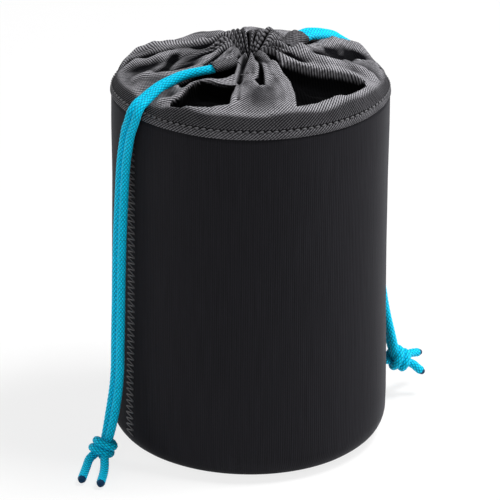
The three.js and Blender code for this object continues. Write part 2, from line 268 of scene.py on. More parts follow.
blotchy = math_node(twill_group, "MULTIPLY", blotches, BLOTCH_SHADE)
patchy = math_node(twill_group, "ADD", blotchy, math_node(twill_group, "MULTIPLY", fuzzy, FUZZ_SHADE))
shade = math_node(twill_group, "ADD", woven, math_node(twill_group, "SUBTRACT", patchy, DARKER))
twill_group.links.new(shade, result.inputs["Shade"])

WALE_PITCH = 0.8
WALE_SHARE = 0.5
STREAK_SCALE = 0.9
STREAK_STRETCH = (1.6, 0.05, 1)
LOOP_SCALE = 1.5
LOOP_RELIEF = 0.4
KNIT_SHADE = 0.75
knit_group, given, result = new_group("jersey_knit", {"Streaks": 0.8}, ["Height", "Shade"])
wales = band(knit_group, given.outputs["Vector"], WALE_PITCH, 0)
streaks = speckle(knit_group, given.outputs["Vector"], STREAK_SCALE, stretch=STREAK_STRETCH, detail=2)
loops = speckle(knit_group, given.outputs["Vector"], LOOP_SCALE)
streaky = math_node(knit_group, "MULTIPLY", streaks, given.outputs["Streaks"])
knitted = math_node(knit_group, "ADD", math_node(knit_group, "MULTIPLY", wales, WALE_SHARE), streaky)
looped = math_node(knit_group, "ADD", math_node(knit_group, "MULTIPLY", loops, LOOP_RELIEF), knitted)
knit_group.links.new(looped, result.inputs["Height"])
knit_group.links.new(math_node(knit_group, "MULTIPLY", knitted, KNIT_SHADE), result.inputs["Shade"])
print("node groups", [g.name for g in bpy.data.node_groups])

# %% [markdown]
# ## Cloth materials
# The neoprene is faced with black jersey, and the collar is a twill that has faded to dark grey on its
# folds. Its ridges are lighter, partly from that fading and partly as painted light, and its valleys,
# hollows and creases carry painted shade. Both are matt with a faint sheen at grazing angles, which is
# what lifts the pouch's edges from black.

# %% Make the cloth materials
def attribute_value(tree, name):
    """A number that each point of the mesh carries."""
    node = tree.nodes.new("ShaderNodeAttribute")
    node.attribute_name = name
    return node.outputs["Fac"]


def colour_mix(tree, factor, first, second):
    """A colour between two colours or sockets."""
    node = tree.nodes.new("ShaderNodeMix")
    node.data_type = "RGBA"
    tree.links.new(factor, node.inputs["Factor"])
    for socket, value in (("A", first), ("B", second)):
        if isinstance(value, tuple):
            node.inputs[socket].default_value = (*value, 1)
        else:
            tree.links.new(value, node.inputs[socket])
    return node.outputs["Result"]


def new_material(name, roughness):
    """A material with its node tree and its shader."""
    material = bpy.data.materials.new(name)
    material.use_nodes = True
    shader = material.node_tree.nodes["Principled BSDF"]
    shader.inputs["Roughness"].default_value = roughness
    return material, material.node_tree, shader


def add_relief(tree, shader, height, strength, distance):
    """Fine relief that only bends the light."""
    relief = tree.nodes.new("ShaderNodeBump")
    relief.inputs["Strength"].default_value = strength
    relief.inputs["Distance"].default_value = distance
    tree.links.new(height, relief.inputs["Height"])
    tree.links.new(relief.outputs["Normal"], shader.inputs["Normal"])


UNFADED = 0.22  # how far level cloth is from the dark to the light colour
FADE_AND_SHADE_GAIN = 1.9
UNLIT_SHARE = 0.2
CLOTH_RELIEF = 0.0002
CLOTH_GLOSS = 0.02
SHEEN_ROUGHNESS = 0.3
SHEEN_TINT = (0.8, 0.8, 0.85, 1)


def cloth_material(name, group, dark, light, bump, roughness, sheen):
    """A matt cloth that takes its weave from a node group and the piece's UV map."""
    material, tree, shader = new_material(name, roughness)
    shader.inputs["Specular IOR Level"].default_value = CLOTH_GLOSS
    shader.inputs["Sheen Weight"].default_value = sheen
    shader.inputs["Sheen Roughness"].default_value = SHEEN_ROUGHNESS
    shader.inputs["Sheen Tint"].default_value = SHEEN_TINT
    cloth_map = tree.nodes.new("ShaderNodeUVMap")
    cloth_map.uv_map = "weave"
    weave = tree.nodes.new("ShaderNodeGroup")
    weave.node_tree = group
    tree.links.new(cloth_map.outputs["UV"], weave.inputs["Vector"])
    # A per-point attribute lightens the twill on ridges and darkens it in valleys: partly real fading, partly
    # painted light and painted shade.
    fade_and_shade_amount = math_node(tree, "MULTIPLY", attribute_value(tree, "fade_and_shade"), FADE_AND_SHADE_GAIN)
    shade = math_node(tree, "MULTIPLY", weave.outputs["Shade"], math_node(tree, "ADD", fade_and_shade_amount, UNFADED))
    lit = colour_mix(tree, shade, dark, light)
    # Painted shade: a second attribute darkens hollows, creases and hidden pleats to a share of the dark
    # colour.
    unlit = tuple(UNLIT_SHARE * part for part in dark)
    colour = colour_mix(tree, attribute_value(tree, "shaded_hollow"), lit, unlit)
    tree.links.new(colour, shader.inputs["Base Color"])
    add_relief(tree, shader, weave.outputs["Height"], bump, CLOTH_RELIEF)
    return material


neoprene = cloth_material(
    "black_jersey", knit_group, dark=(0.008, 0.008, 0.009), light=(0.072, 0.069, 0.084),
    bump=0.3, roughness=0.75, sheen=0.16,
)
twill = cloth_material(
    "grey_twill", twill_group, dark=(0.003, 0.003, 0.004), light=(0.42, 0.412, 0.44),
    bump=0.9, roughness=0.85, sheen=0.02,
)
lining_cloth = cloth_material(
    "black_lining", twill_group, dark=(0.01, 0.01, 0.011), light=(0.024, 0.024, 0.026),
    bump=0.3, roughness=0.85, sheen=0.1,
)
print("cloth materials", neoprene.name, twill.name, lining_cloth.name)

# %% [markdown]
# ## Cord, thread and foam materials
# The braid's relief is real geometry. Its material paints shade into the valleys between the strands, and
# darkens the melted tips, which are dark in their own colour. Both masks are attributes that the cord's
# own mesh carries.

# %% Make the cord, thread and foam materials
BRAID_VALLEY_SHADE = (0.0, 0.05, 0.15)
BRAID_CROWN = (0.0, 0.68, 0.98)
SEALED_COLOUR = (0.002, 0.03, 0.08)
CROWN_GAIN = 1.6
CROWN_START = 0.45
FILAMENT_SHADE = 0.35
FILAMENT_STRETCH = (40, 3, 1)
BRAID_GLOSS = 0.08
BRAID_SHEEN = 0.03
braid, tree, shader = new_material("blue_braid", roughness=0.55)
shader.inputs["Specular IOR Level"].default_value = BRAID_GLOSS
shader.inputs["Sheen Weight"].default_value = BRAID_SHEEN
braid_map = tree.nodes.new("ShaderNodeUVMap")
braid_map.uv_map = "weave"
filaments = speckle(tree, braid_map.outputs["UV"], scale=1.0, stretch=FILAMENT_STRETCH)
# Painted shade: the lower the braid's surface, the darker its blue.
risen = math_node(tree, "MULTIPLY", attribute_value(tree, "pile"), CROWN_GAIN)
crowns = math_node(tree, "SUBTRACT", risen, CROWN_START)
strand_tone = math_node(tree, "ADD", crowns, math_node(tree, "MULTIPLY", filaments, FILAMENT_SHADE))
shaded_strand_colour = colour_mix(tree, strand_tone, BRAID_VALLEY_SHADE, BRAID_CROWN)
sealed_colour = colour_mix(tree, attribute_value(tree, "sealed"), shaded_strand_colour, SEALED_COLOUR)
tree.links.new(sealed_colour, shader.inputs["Base Color"])
add_relief(tree, shader, filaments, strength=0.25, distance=0.0001)


def grained_material(name, dark, light, scale, roughness, bump):
    """A plain soft material with fine noise in its colour and relief, on Object coordinates."""
    material, tree, shader = new_material(name, roughness)
    place = tree.nodes.new("ShaderNodeTexCoord")
    grain = speckle(tree, place.outputs["Object"], scale)
    tree.links.new(colour_mix(tree, grain, dark, light), shader.inputs["Base Color"])
    add_relief(tree, shader, grain, bump, CLOTH_RELIEF)
    return material


thread = grained_material(
    "black_thread", dark=(0.014, 0.014, 0.015), light=(0.09, 0.088, 0.097),
    scale=3000, roughness=0.55, bump=0.5,
)
foam = grained_material(
    "grey_foam", dark=(0.06, 0.06, 0.065), light=(0.12, 0.12, 0.125),
    scale=900, roughness=0.95, bump=0.8,
)
print("other materials", braid.name, thread.name, foam.name)

# %% [markdown]
# ## Drawcords
# Each drawcord leaves the collar as two strands, lies over the rim and hangs down the side into a knot. A
# bevelled curve would give a smooth hose, so each strand is a tube whose surface rises over every
# crossing of the braid. The points follow the CAD route, as degrees from the cord's azimuth, radius and
# height.

# %% The drawcords' routes
LEFT_CORD = {
    "azimuth": 212,
    "lead": [
        (29.6, 20.6, 148.9), (25.7, 24.4, 148.6), (19.6, 28.0, 148.2), (14.1, 30.9, 147.4), (10.8, 34, 146.5),
        (8.5, 37.4, 145.1), (6.9, 41, 143.5), (6.6, 45, 141.6),
    ],
    "hang": [
        (6.8, 47.8, 140.2), (7.1, 50.6, 138.9), (7, 52.4, 136.6), (6.1, 52.9, 133.5), (4.9, 52.9, 131),
        (3.6, 53, 128), (1.9, 53.2, 121), (0.9, 53.4, 115), (0.2, 53.7, 105), (0, 54.7, 82), (0, 55.5, 47),
        (0, 56, 32), (0, 57.6, 21), (0, 59.8, 10.8),
    ],
    "knot": (62, 5.6),
    "knot_axis": (-0.5, -0.2, -0.84),
    "tails": {
        "a": [(5.7, 0.6, -2.5), (10, 5, -3.6), (16.5, 12.9, -3.7)],
        "b": [(2.4, 5.3, -2.6), (6, 11, -3.6), (12.3, 19.2, -3.7)],
    },
    "gore": 8,
    "stacked": True,
}
RIGHT_CORD = {
    "azimuth": 25,
    "lead": [
        (-7.6, 17.7, 150.4), (-0.6, 22.2, 150.6), (4, 27, 149.4), (7.2, 32, 147.6), (10, 37.3, 145.2),
        (12.4, 42.2, 141.8), (13.9, 45.4, 139.8),
    ],
    "hang": [
        (14.5, 48, 138), (15, 50.6, 136.4), (15.3, 52.4, 133.8), (15, 53, 127), (13, 53.6, 105),
        (10.5, 54.7, 82), (7, 55.5, 55), (3.8, 57, 36), (0.5, 59.6, 20.4),
    ],
    "knot": (61.5, 15),
    "knot_axis": (0.8, 0.2, -0.56),
    "tails": {
        "a": [(5.5, 2.6, -0.6), (8, 4, -1), (12.4, 5.4, -2)],
        "b": [(5.1, -2.4, -2.2), (7, -3.2, -4), (9.2, -3.4, -6)],
    },
    "gore": 4,
    "stacked": False,
}
print("route points", [len(cord["lead"] + cord["hang"]) for cord in (LEFT_CORD, RIGHT_CORD)])

# %% [markdown]
# Straight pieces between these points would have kinks. One smooth line runs through them instead, as
# places at equal steps, and each strand of a pair is that line moved sideways.

# %% The drawcords' lines
SPAN_STEPS = 60
CORD_STEP = 0.24


def turned_place(azimuth, radius, height):
    """A point from its azimuth in degrees, its radius and its height."""
    angle = math.radians(azimuth)
    return np.array([radius * math.cos(angle), radius * math.sin(angle), height])


def cord_route(cord):
    """The points of a cord's route, from its mouth in the collar to its knot."""
    places = cord["lead"] + cord["hang"]
    return [turned_place(cord["azimuth"] + turn, radius, height) for turn, radius, height in places]


def unit(vector):
    """A vector of length 1 in the same direction."""
    return vector / np.linalg.norm(vector)


def run_along(points):
    """The length along a line at each of its points."""
    return np.r_[0, np.cumsum(np.linalg.norm(np.diff(points, axis=0), axis=1))]


def smooth_line(points, step):
    """A smooth line through points, as places one step apart."""
    points = np.asarray(points, float)
    ends = np.vstack([2 * points[0] - points[1], points, 2 * points[-1] - points[-2]])
    t = np.linspace(0, 1, SPAN_STEPS, endpoint=False)[:, None]
    spans = []
    for before, start, stop, after in zip(ends, ends[1:], ends[2:], ends[3:]):
        bend = 2 * before - 5 * start + 4 * stop - after
        twist = 3 * start - before - 3 * stop + after
        spans.append(0.5 * (2 * start + (stop - before) * t + bend * t ** 2 + twist * t ** 3))
    dense = np.vstack([*spans, points[-1:]])
    run = run_along(dense)
    places = np.linspace(0, run[-1], max(int(round(run[-1] / step)), 2) + 1)
    return np.stack([np.interp(places, run, dense[:, axis]) for axis in range(3)], 1)


def beside(line, shift):
    """The line moved sideways on the pouch, for one strand of a pair."""
    along = np.gradient(line, axis=0)
    steep = np.abs(along[:, 2]) / np.linalg.norm(along, axis=1)
    away = line * [1, 1, 0]
    away *= (steep / np.linalg.norm(away, axis=1))[:, None]
    away[:, 2] = 1 - steep
    sideways = np.cross(away, along)
    return line + shift * sideways / np.linalg.norm(sideways, axis=1)[:, None]


for cord in (LEFT_CORD, RIGHT_CORD):
    print("route", round(run_along(smooth_line(cord_route(cord), CORD_STEP))[-1], 1), "mm long")

# %% [markdown]
# Every soft piece here is a grid of points that follows cloth or cord, so one helper turns a grid into a
# mesh with a UV map in millimetres. The UV map keeps the weave at its real size wherever the cloth goes.

# %% Grids of points
MM = 0.001


def grid_faces(rows, columns, closed=False):
    """Quads of a grid of points; closed joins the last column to the first."""
    spans = columns if closed else columns - 1
    row, column = np.meshgrid(np.arange(rows - 1), np.arange(spans), indexing="ij")
    right = (column + 1) % columns
    here, below = row * columns, (row + 1) * columns
    corners = [here + column, here + right, below + right, below + column]
    return np.stack(corners, -1).reshape(-1, 4)


def new_piece(name, points, faces, cloth_uv=None):
    """A mesh object from points in millimetres, with an optional UV per point."""
    mesh = bpy.data.meshes.new(name)
    mesh.from_pydata((np.asarray(points) * MM).tolist(), [], [list(map(int, face)) for face in faces])
    if cloth_uv is not None:
        layer = mesh.uv_layers.new(name="weave")
        corner = np.empty(len(mesh.loops), int)
        mesh.loops.foreach_get("vertex_index", corner)
        layer.data.foreach_set("uv", np.asarray(cloth_uv, float)[corner].ravel())
    mesh.shade_smooth()
    piece = bpy.data.objects.new(name, mesh)
    bpy.context.collection.objects.link(piece)
    return piece


def store_values(piece, label, values):
    """One number for each point of a piece, for its material to read by name."""
    layer = piece.data.attributes.new(label, "FLOAT", "POINT")
    layer.data.foreach_set("value", np.asarray(values, np.float32).ravel())


def select_only(piece):
    """Makes a piece the only selected one, for the operators."""
    bpy.ops.object.select_all(action="DESELECT")
    bpy.context.view_layer.objects.active = piece
    piece.select_set(True)


def face_outwards(piece):
    """Turns a closed piece's faces outwards."""
    select_only(piece)
    bpy.ops.object.mode_set(mode="EDIT")
    bpy.ops.mesh.select_all(action="SELECT")
    bpy.ops.mesh.normals_make_consistent(inside=False)
    bpy.ops.object.mode_set(mode="OBJECT")


print("a grid of 3 by 4 points has", len(grid_faces(3, 4)), "faces")

# %% [markdown]
# A braid has one family of strands going each way round. Where they cross, the upper one bulges, so the
# surface is a lattice of small pillows. Their height is a product of two waves along the two families.
# The cut ends of the tails are melted: there the pillows stop and the cord narrows.

# %% The braided tube
CORD_DIAMETER = 3.2
BRAID_CARRIERS = 8
BRAID_PITCH = 1.7
BRAID_RELIEF = 0.22
CORD_SIDES = 32
SEAL_BLUR = 0.4
SEAL_NARROW = 0.72
SEAL_TAPER = 0.35
SEAL_BEAD = 1.03
SLANT = (0.3, 0.5, 0.81)  # a direction that no cord starts along


def around(line, turn):
    """Directions away from a line, at each place and turn, carried along it without twist."""
    along = np.gradient(line, axis=0)
    along /= np.linalg.norm(along, axis=1)[:, None]
    across = np.cross(along[0], SLANT)
    firsts = []
    for direction in along:
        across = unit(across - direction * np.dot(across, direction))
        firsts.append(across)
    first = np.array(firsts)
    second = np.cross(along, first)
    return first[:, None] * np.cos(turn)[None, :, None] + second[:, None] * np.sin(turn)[None, :, None]


def braided_tube(name, line, start=0.0, sealed_end=0.0):
    """A braided cord along a line in millimetres, with its ends closed."""
    run = start + run_along(line)
    turn = np.linspace(0, 2 * math.pi, CORD_SIDES, endpoint=False)
    carrier = BRAID_CARRIERS * turn / (2 * math.pi)
    u = carrier[None, :] + run[:, None] / BRAID_PITCH
    v = carrier[None, :] - run[:, None] / BRAID_PITCH
    pile = np.sqrt(np.abs(np.sin(math.pi * u) * np.sin(math.pi * v)))
    left = run[-1] - run
    sealed = np.clip((sealed_end - left) / SEAL_BLUR + 0.5, 0, 1) if sealed_end else np.zeros(len(run))
    pile = pile * (1 - sealed)[:, None]
    radius = CORD_DIAMETER / 2 - BRAID_RELIEF + BRAID_RELIEF * pile
    if sealed_end:
        radius = radius * np.clip(SEAL_NARROW + SEAL_TAPER * left / sealed_end, 0, SEAL_BEAD)[:, None]
    points = (line[:, None] + radius[..., None] * around(line, turn)).reshape(-1, 3)
    rows = len(line)
    faces = [tuple(face) for face in grid_faces(rows, CORD_SIDES, closed=True)]
    uv = np.stack(np.broadcast_arrays(turn[None] / (2 * math.pi), run[:, None]), -1).reshape(-1, 2)
    points = np.vstack([points, line[0], line[-1]])
    uv = np.vstack([uv, [0.5, run[0]], [0.5, run[-1]]])
    last = (rows - 1) * CORD_SIDES
    for side in range(CORD_SIDES):
        after = (side + 1) % CORD_SIDES
        faces.append((after, side, rows * CORD_SIDES))
        faces.append((last + side, last + after, rows * CORD_SIDES + 1))
    piece = new_piece(name, points, faces, uv)
    # The relief height, which the braid material also uses for painted shade in the valleys.
    store_values(piece, "pile", np.r_[pile.ravel(), 0.5, 0.5])
    store_values(piece, "sealed", np.r_[np.repeat(sealed, CORD_SIDES), 0, 1.0 if sealed_end else 0])
    face_outwards(piece)
    return piece


print("braid", BRAID_CARRIERS, "carriers each way")

# %% [markdown]
# An overhand knot in a doubled cord shows as two slanting wraps with the strands going in above and the
# tails coming out below. The wraps are one braided tube on a short left-handed helix round the cord's own
# direction.

# %% The knot
KNOT_WRAP_RADIUS = 3.3
KNOT_TURNS = 2.0
KNOT_RISE = 3.0
KNOT_POINTS = 40
KNOT_TUCK = 0.45


def make_knot(name, middle, axis, outward):
    """The wraps of a knot round a direction, as one braided tube."""
    first = unit(outward - axis * np.dot(outward, axis))
    second = np.cross(axis, first)
    turn = np.linspace(0, 1, KNOT_POINTS)
    angle = 2 * math.pi * KNOT_TURNS * (turn - 0.5) + math.pi
    near_ends = np.clip(np.abs(2 * turn - 1) * 4 - 3, 0, 1)
    tuck = KNOT_WRAP_RADIUS * (1 - KNOT_TUCK * near_ends ** 2)
    lift = KNOT_RISE * KNOT_TURNS * (turn - 0.5)
    wrap = tuck[:, None] * (np.cos(angle)[:, None] * first + np.sin(angle)[:, None] * second)
    return braided_tube(name, smooth_line(middle + wrap + lift[:, None] * axis, CORD_STEP))


print("knot", KNOT_TURNS, "turns of", 2 * KNOT_WRAP_RADIUS, "mm")

# %% [markdown]
# Both strands of a pair share one middle line. They lie side by side, but come out of the left mouth one
# behind the other, and they close up where they enter the knot. Each strand is cut at the rim into a lead
# and a hang. The tails ride on the knot.

# %% Make the drawcords
TAIL_SEAL = 1.3
TAIL_START = 0.25
RIM_CUT_RADIUS = 46.4
STACK_LENGTH = 45
STRAND_PITCH = 3.5
HIDDEN_STRAND = np.array([0, 2.9, -1.3])  # one strand comes out of the left mouth behind the other
PINCH_LENGTH = 14
PINCH_SHARE = 0.55


def smooth_step(low, high, value):
    """0 up to low, 1 from high on, and a smooth rise between them."""
    share = np.clip((value - low) / (high - low), 0, 1)
    return share * share * (3 - 2 * share)


def finish_piece(piece, material, slot, *nodes):
    """Gives a piece its material and hides the CAD nodes that it stands for."""
    piece.data.materials.clear()
    piece.data.materials.append(material)
    if nodes:
        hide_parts(*nodes)
    return piece


def strand_line(centre, shift, stacked):
    """The middle line of one strand of a pair."""
    line = beside(centre, shift)
    if stacked:
        behind = centre + (HIDDEN_STRAND if shift < 0 else 0)
        line += (behind - line) * smooth_step(STACK_LENGTH, 0, np.arange(len(centre)) * CORD_STEP)[:, None]
    pinch = np.clip(1 - np.linalg.norm(centre - centre[-1], axis=1) / PINCH_LENGTH, 0, 1)[:, None]
    return line + (centre - line) * PINCH_SHARE * pinch ** 2


def make_drawcord(side, cord):
    """The strands, knot and tails of one drawcord; the knot and the tails ride on the knot."""
    outward = turned_place(cord["azimuth"], 1, 0)
    sideways = np.array([-outward[1], outward[0], 0])
    middle = outward * cord["knot"][0] + np.array([0, 0, cord["knot"][1]])
    axis = unit(np.array(cord["knot_axis"]))
    centre = smooth_line([*cord_route(cord), middle - axis], CORD_STEP)
    knot = make_knot(f"{side}_knot", middle, axis, outward)
    finish_piece(knot, braid, "braid", f"{side}_cord_knot")
    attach(knot, f"{side}_knot")
    pieces, hangs = [knot], []
    for strand, shift in (("a", -STRAND_PITCH / 2), ("b", STRAND_PITCH / 2)):
        line = strand_line(centre, shift, cord["stacked"])
        cut = int(np.argmax(np.hypot(line[:, 0], line[:, 1]) > RIM_CUT_RADIUS))
        lead = braided_tube(f"{side}_lead_{strand}", line[: cut + 1])
        finish_piece(lead, braid, "braid", f"{side}_cord_lead_{strand}")
        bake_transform(lead)
        hang = braided_tube(f"{side}_hang_{strand}", line[cut:], start=cut * CORD_STEP)
        finish_piece(hang, braid, "braid", f"{side}_cord_hang_{strand}")
        tail_route = [middle + o * outward + s * sideways + [0, 0, u] for o, s, u in cord["tails"][strand]]
        inside = middle + TAIL_START * (tail_route[0] - middle)
        tail_line = smooth_line([inside, *tail_route], CORD_STEP)
        tail = braided_tube(f"{side}_tail_{strand}", tail_line, sealed_end=TAIL_SEAL)
        finish_piece(tail, braid, "braid", f"{side}_cord_tail_{strand}")
        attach(tail, f"{side}_knot")
        pieces += [lead, tail]
        hangs.append((hang, line[cut:]))
    return pieces, hangs


cord_pieces = {}
for side, cord in (("left", LEFT_CORD), ("right", RIGHT_CORD)):
    cord_pieces[side] = make_drawcord(side, cord)
    print(side, "cord:", [piece.name for piece in cord_pieces[side][0]])

# %% [markdown]
# When the mouth opens, the cords are drawn up into the collar and the knots rise. The hanging strands
# can't follow a slide by turning, so they are squashed towards the rim, by the length that the channel
# takes in and a little more, so that they don't crowd into the knots. Here each hanging strand rides on
# the pouch, with a mesh of its own.

# %% Attach the hanging strands to the pouch
for side, cord in (("left", LEFT_CORD), ("right", RIGHT_CORD)):
    pieces, hangs = cord_pieces[side]
    for place, (hang, line) in enumerate(hangs):
        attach(hang, "pouch")
        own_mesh(hang)

# %% [markdown]
# ## Neoprene sleeve
# The sleeve is a soft tube, so it isn't a plain cylinder: it is drawn in at the middle, swells towards
# the floor and turns under in a wide curve. Its outline is turned round the axis, and slow noise dents it
# slightly.

# %% Make the sleeve
SLEEVE_COLUMNS = 256
SLEEVE_WALL = 3.8
BASE_LIP_RADIUS = 40.4
BASE_CURVE = 10.5
INNER_RADIUS = 46.3
REBATE_RADIUS = 48.6
LIP_HEIGHT = 134
DENT_TURNS = 2.2
DENT_HEIGHT = 38
CURVE_POINTS = 14
SIDE_ROWS = 60
INNER_MIDDLE = 80
LIP_ROUND = 0.6
LIP_GAP = 0.1
REBATE_STEP = 0.4
CLOTH_RADIUS = 50  # the radius at which a turned piece's weave has its real size
SLEEVE_HEIGHTS = [10.5, 16, 30, 50, 75, 100, 120, 133.4]
SLEEVE_RADII = [50.7, 50.8, 50.6, 50.15, 49.9, 49.8, 50.0, 49.9]


def wavy(angle, height, seed, size):
    """Slow noise on the sleeve, which joins up after a full turn."""
    place = Vector((DENT_TURNS * math.cos(angle), DENT_TURNS * math.sin(angle), height / DENT_HEIGHT + seed))
    return size * noise.noise(place)


def turned_shell(name, outline, columns, dent=0.0, seed=0.0):
    """A closed outline of [radius, height] turned round Z, with a UV map in millimetres."""
    outline = np.asarray(outline, float)
    rows = len(outline)
    angle = np.linspace(0, 2 * math.pi, columns + 1)
    run = run_along(outline)
    points, uv = [], []
    for (radius, height), length in zip(outline, run):
        for turn in angle:
            r = radius + (wavy(turn, height, seed, dent) if dent else 0)
            points.append((r * math.cos(turn), r * math.sin(turn), height))
            uv.append((turn * CLOTH_RADIUS, length))
    piece = new_piece(name, points, grid_faces(rows, columns + 1), uv)
    faces = bmesh.new()
    faces.from_mesh(piece.data)
    bmesh.ops.remove_doubles(faces, verts=faces.verts, dist=1e-6)
    faces.to_mesh(piece.data)
    faces.free()
    return piece


curve = np.linspace(0, math.pi / 2, CURVE_POINTS)
edge_centre = SLEEVE_RADII[0] - BASE_CURVE
turn_under = [(edge_centre + BASE_CURVE * math.sin(a), BASE_CURVE * (1 - math.cos(a))) for a in curve]
side_heights = np.linspace(SLEEVE_HEIGHTS[0], SLEEVE_HEIGHTS[-1], SIDE_ROWS)[1:]
side = [(np.interp(z, SLEEVE_HEIGHTS, SLEEVE_RADII), z) for z in side_heights]
inner_curve = BASE_CURVE - SLEEVE_WALL
inner = [(INNER_RADIUS, height) for height in (LIP_HEIGHT, INNER_MIDDLE, SLEEVE_WALL + inner_curve)]
for a in curve[1:]:
    radius = INNER_RADIUS - inner_curve * (1 - math.cos(a))
    inner.append((radius, SLEEVE_WALL + inner_curve * (1 - math.sin(a))))
sleeve_outline = [(BASE_LIP_RADIUS, LIP_ROUND), (BASE_LIP_RADIUS + LIP_ROUND, LIP_GAP)]
sleeve_outline += turn_under[1:] + side
sleeve_outline += [(REBATE_RADIUS, LIP_HEIGHT - REBATE_STEP), (REBATE_RADIUS, LIP_HEIGHT)] + inner
sleeve_outline += [(BASE_LIP_RADIUS, SLEEVE_WALL), (BASE_LIP_RADIUS, LIP_ROUND)]
sleeve = turned_shell("neoprene_sleeve", sleeve_outline, SLEEVE_COLUMNS, dent=0.22, seed=3.1)
face_outwards(sleeve)
finish_piece(sleeve, neoprene, "neoprene", "outer_sleeve")
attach(sleeve, "pouch")
print("sleeve faces", len(sleeve.data.polygons))

# %% [markdown]
# ## Linings, base and pad
# Inside are a smooth lining, a round base of the same neoprene, a foam pad and the pad's cover. They show
# only through the open mouth or from below, so simple turned shells with soft edges are enough.

# %% Make the linings, base and pad
def rounded_disc(radius, bottom, top, edge):
    """Outline of a disc with rounded edges, from the middle of its underside to the middle of its top."""
    arc = np.linspace(0, math.pi / 2, 5)
    below = [(radius - edge + edge * math.sin(a), bottom + edge * (1 - math.cos(a))) for a in arc]
    above = [(radius - edge + edge * math.cos(a), top - edge * (1 - math.sin(a))) for a in arc]
    rings = [(radius * share, bottom) for share in (0, 0.25, 0.5, 0.75)]
    return rings + below + above + [(radius * share, top) for share in (0.75, 0.5, 0.25, 0)]


LINING_RADII = (45.8, 45.2)
LINING_HEIGHTS = [11, 60, 100, 136.1]
BASE_COVER_RADIUS = 44.5
LINING_COLUMNS = 128
DISC_COLUMNS = 96
lining_outline = [(LINING_RADII[0], height) for height in LINING_HEIGHTS]
lining_outline += [(LINING_RADII[1], height) for height in LINING_HEIGHTS[::-1]] + lining_outline[:1]
sleeve_lining = turned_shell("lining_tube", lining_outline, LINING_COLUMNS, dent=0.12, seed=7.7)
cover_outline = rounded_disc(BASE_COVER_RADIUS, bottom=7.5, top=8.3, edge=0.4)
base_cover = turned_shell("base_lining_disc", cover_outline, DISC_COLUMNS, dent=0.1, seed=1.3)
pad_outline = rounded_disc(40.8, bottom=4.2, top=7.1, edge=1)
base_pad = turned_shell("base_foam_pad", pad_outline, DISC_COLUMNS)
base_outline = rounded_disc(39.8, bottom=0.05, top=3.8, edge=0.9)
base = turned_shell("base_neoprene_disc", base_outline, DISC_COLUMNS)
for piece, material, slot, node in (
    (sleeve_lining, lining_cloth, "lining", "sleeve_lining"),
    (base_cover, lining_cloth, "lining", "base_lining"),
    (base_pad, foam, "foam", "base_pad"),
    (base, neoprene, "neoprene", "base_disc"),
):
    face_outwards(piece)
    finish_piece(piece, material, slot, node)
    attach(piece, "pouch")
print("inner pieces", sleeve_lining.name, base_cover.name, base_pad.name, base.name)

# %% [markdown]
# ## Collar shape
# The collar is a sheet gathered to one point, a little off the pouch's middle. A cloth simulation would
# fold it somewhere else each time a value changes, so the folds that the photograph shows are placed one
# by one, as lines and outlines seen from above. The back isn't in the photograph, so it has three plain
# pleats.

# %% The collar's folds seen from above
# Each hollow's darkness is painted shade on its cloth.
HOLLOWS = {  # depth, how softly the far edge rolls over, how dark it is inside, outline
    "front_left_lower": (7, 0, 1, [
        (-28, -35), (-28, -38), (-24.3, -41), (-13.4, -42.6), (-7.5, -42), (-6.9, -36.6), (-5.9, -31),
        (-5.2, -27), (-9, -27.5), (-17.8, -28), (-21.3, -30.4), (-24.7, -33.6),
    ]),
    "front_left_upper": (6.5, 0, 1, [
        (-24, -28), (-25.6, -24.9), (-17.9, -20.4), (-10.2, -16), (-6.3, -14.6), (-4.9, -17.4), (-5.9, -21.6),
        (-8.4, -23.8), (-11.5, -24.8), (-15.4, -25.4),
    ]),
    "front_right": (7, 0.5, 1, [
        (9.2, -13.9), (11.7, -21.1), (14.2, -26.2), (15.5, -34.2), (16.2, -42.4), (22.5, -38.4),
        (29.6, -32.6), (33.1, -31.2), (36.7, -27), (40.4, -20.7), (40.1, -16), (31.6, -14), (20.9, -14.4),
        (12.1, -13),
    ]),
    "front_slit": (5, 0, 0.83, [
        (2.5, -11.5), (3.9, -16.7), (4.5, -21), (5, -29.4), (3.3, -29.5), (1.5, -25.8), (2.7, -23.5),
        (3, -18.6),
    ]),
}
FOLD_LINES = [  # height, width and line; a negative height is a valley
    (0.8, 1.2, [
        (-31.8, -32.6), (-27.6, -32.9), (-21.3, -29.5), (-16.1, -27.2), (-11.5, -26.2), (-6.6, -23.3),
    ]),
    (1.6, 3.5, [(-41.6, 18.3), (-36.5, 16.6), (-25.6, 13.5), (-14.7, 4.8), (-7.5, -2.2)]),
    (1.4, 3.0, [(-46.8, 0.9), (-41.5, 1), (-36.1, -0.4), (-29.7, 1)]),
    (1.5, 2.5, [(-40, -14), (-30, -18), (-20, -17.5), (-12, -14), (-6, -10)]),
    (3.2, 2.6, [(18, -4), (20.3, -1.7), (25.5, 9.2), (31, 15.5), (36, 19), (40.5, 21.5), (44, 22.5)]),
    (1.8, 3.5, [(12.1, -5.6), (19.2, -5.8), (28.1, -7.1), (37.1, -7.1), (43.1, -10.1)]),
    (2.0, 3.0, [(8, 4), (14, 9)]),
    (-1.4, 0.9, [(-2.1, -10.8), (-3.5, -20), (-4, -25)]),
    (-0.6, 0.7, [(-4, -25), (-4.1, -28.5), (-4.4, -39.3)]),
    (-1.2, 0.8, [(-16.6, -15.6), (-13.8, -13.1), (-10.3, -10.1)]),
    (-2.0, 2.2, [(-44, 8), (-37, 6.5), (-30, 4)]),
    (-1.6, 1.8, [(-27.5, -1.5), (-29, -8), (-31.5, -13.5)]),
    (-2.4, 2.4, [(29, -0.3), (34, 5), (38.5, 14)]),
    (-2.0, 1.0, [(7.6, -9.4), (8, -12)]),
]
BACK_PLEATS = (58, 103, 148)
BACK_PLEAT = (6.5, 0.5, 0.7)  # as for the hollows
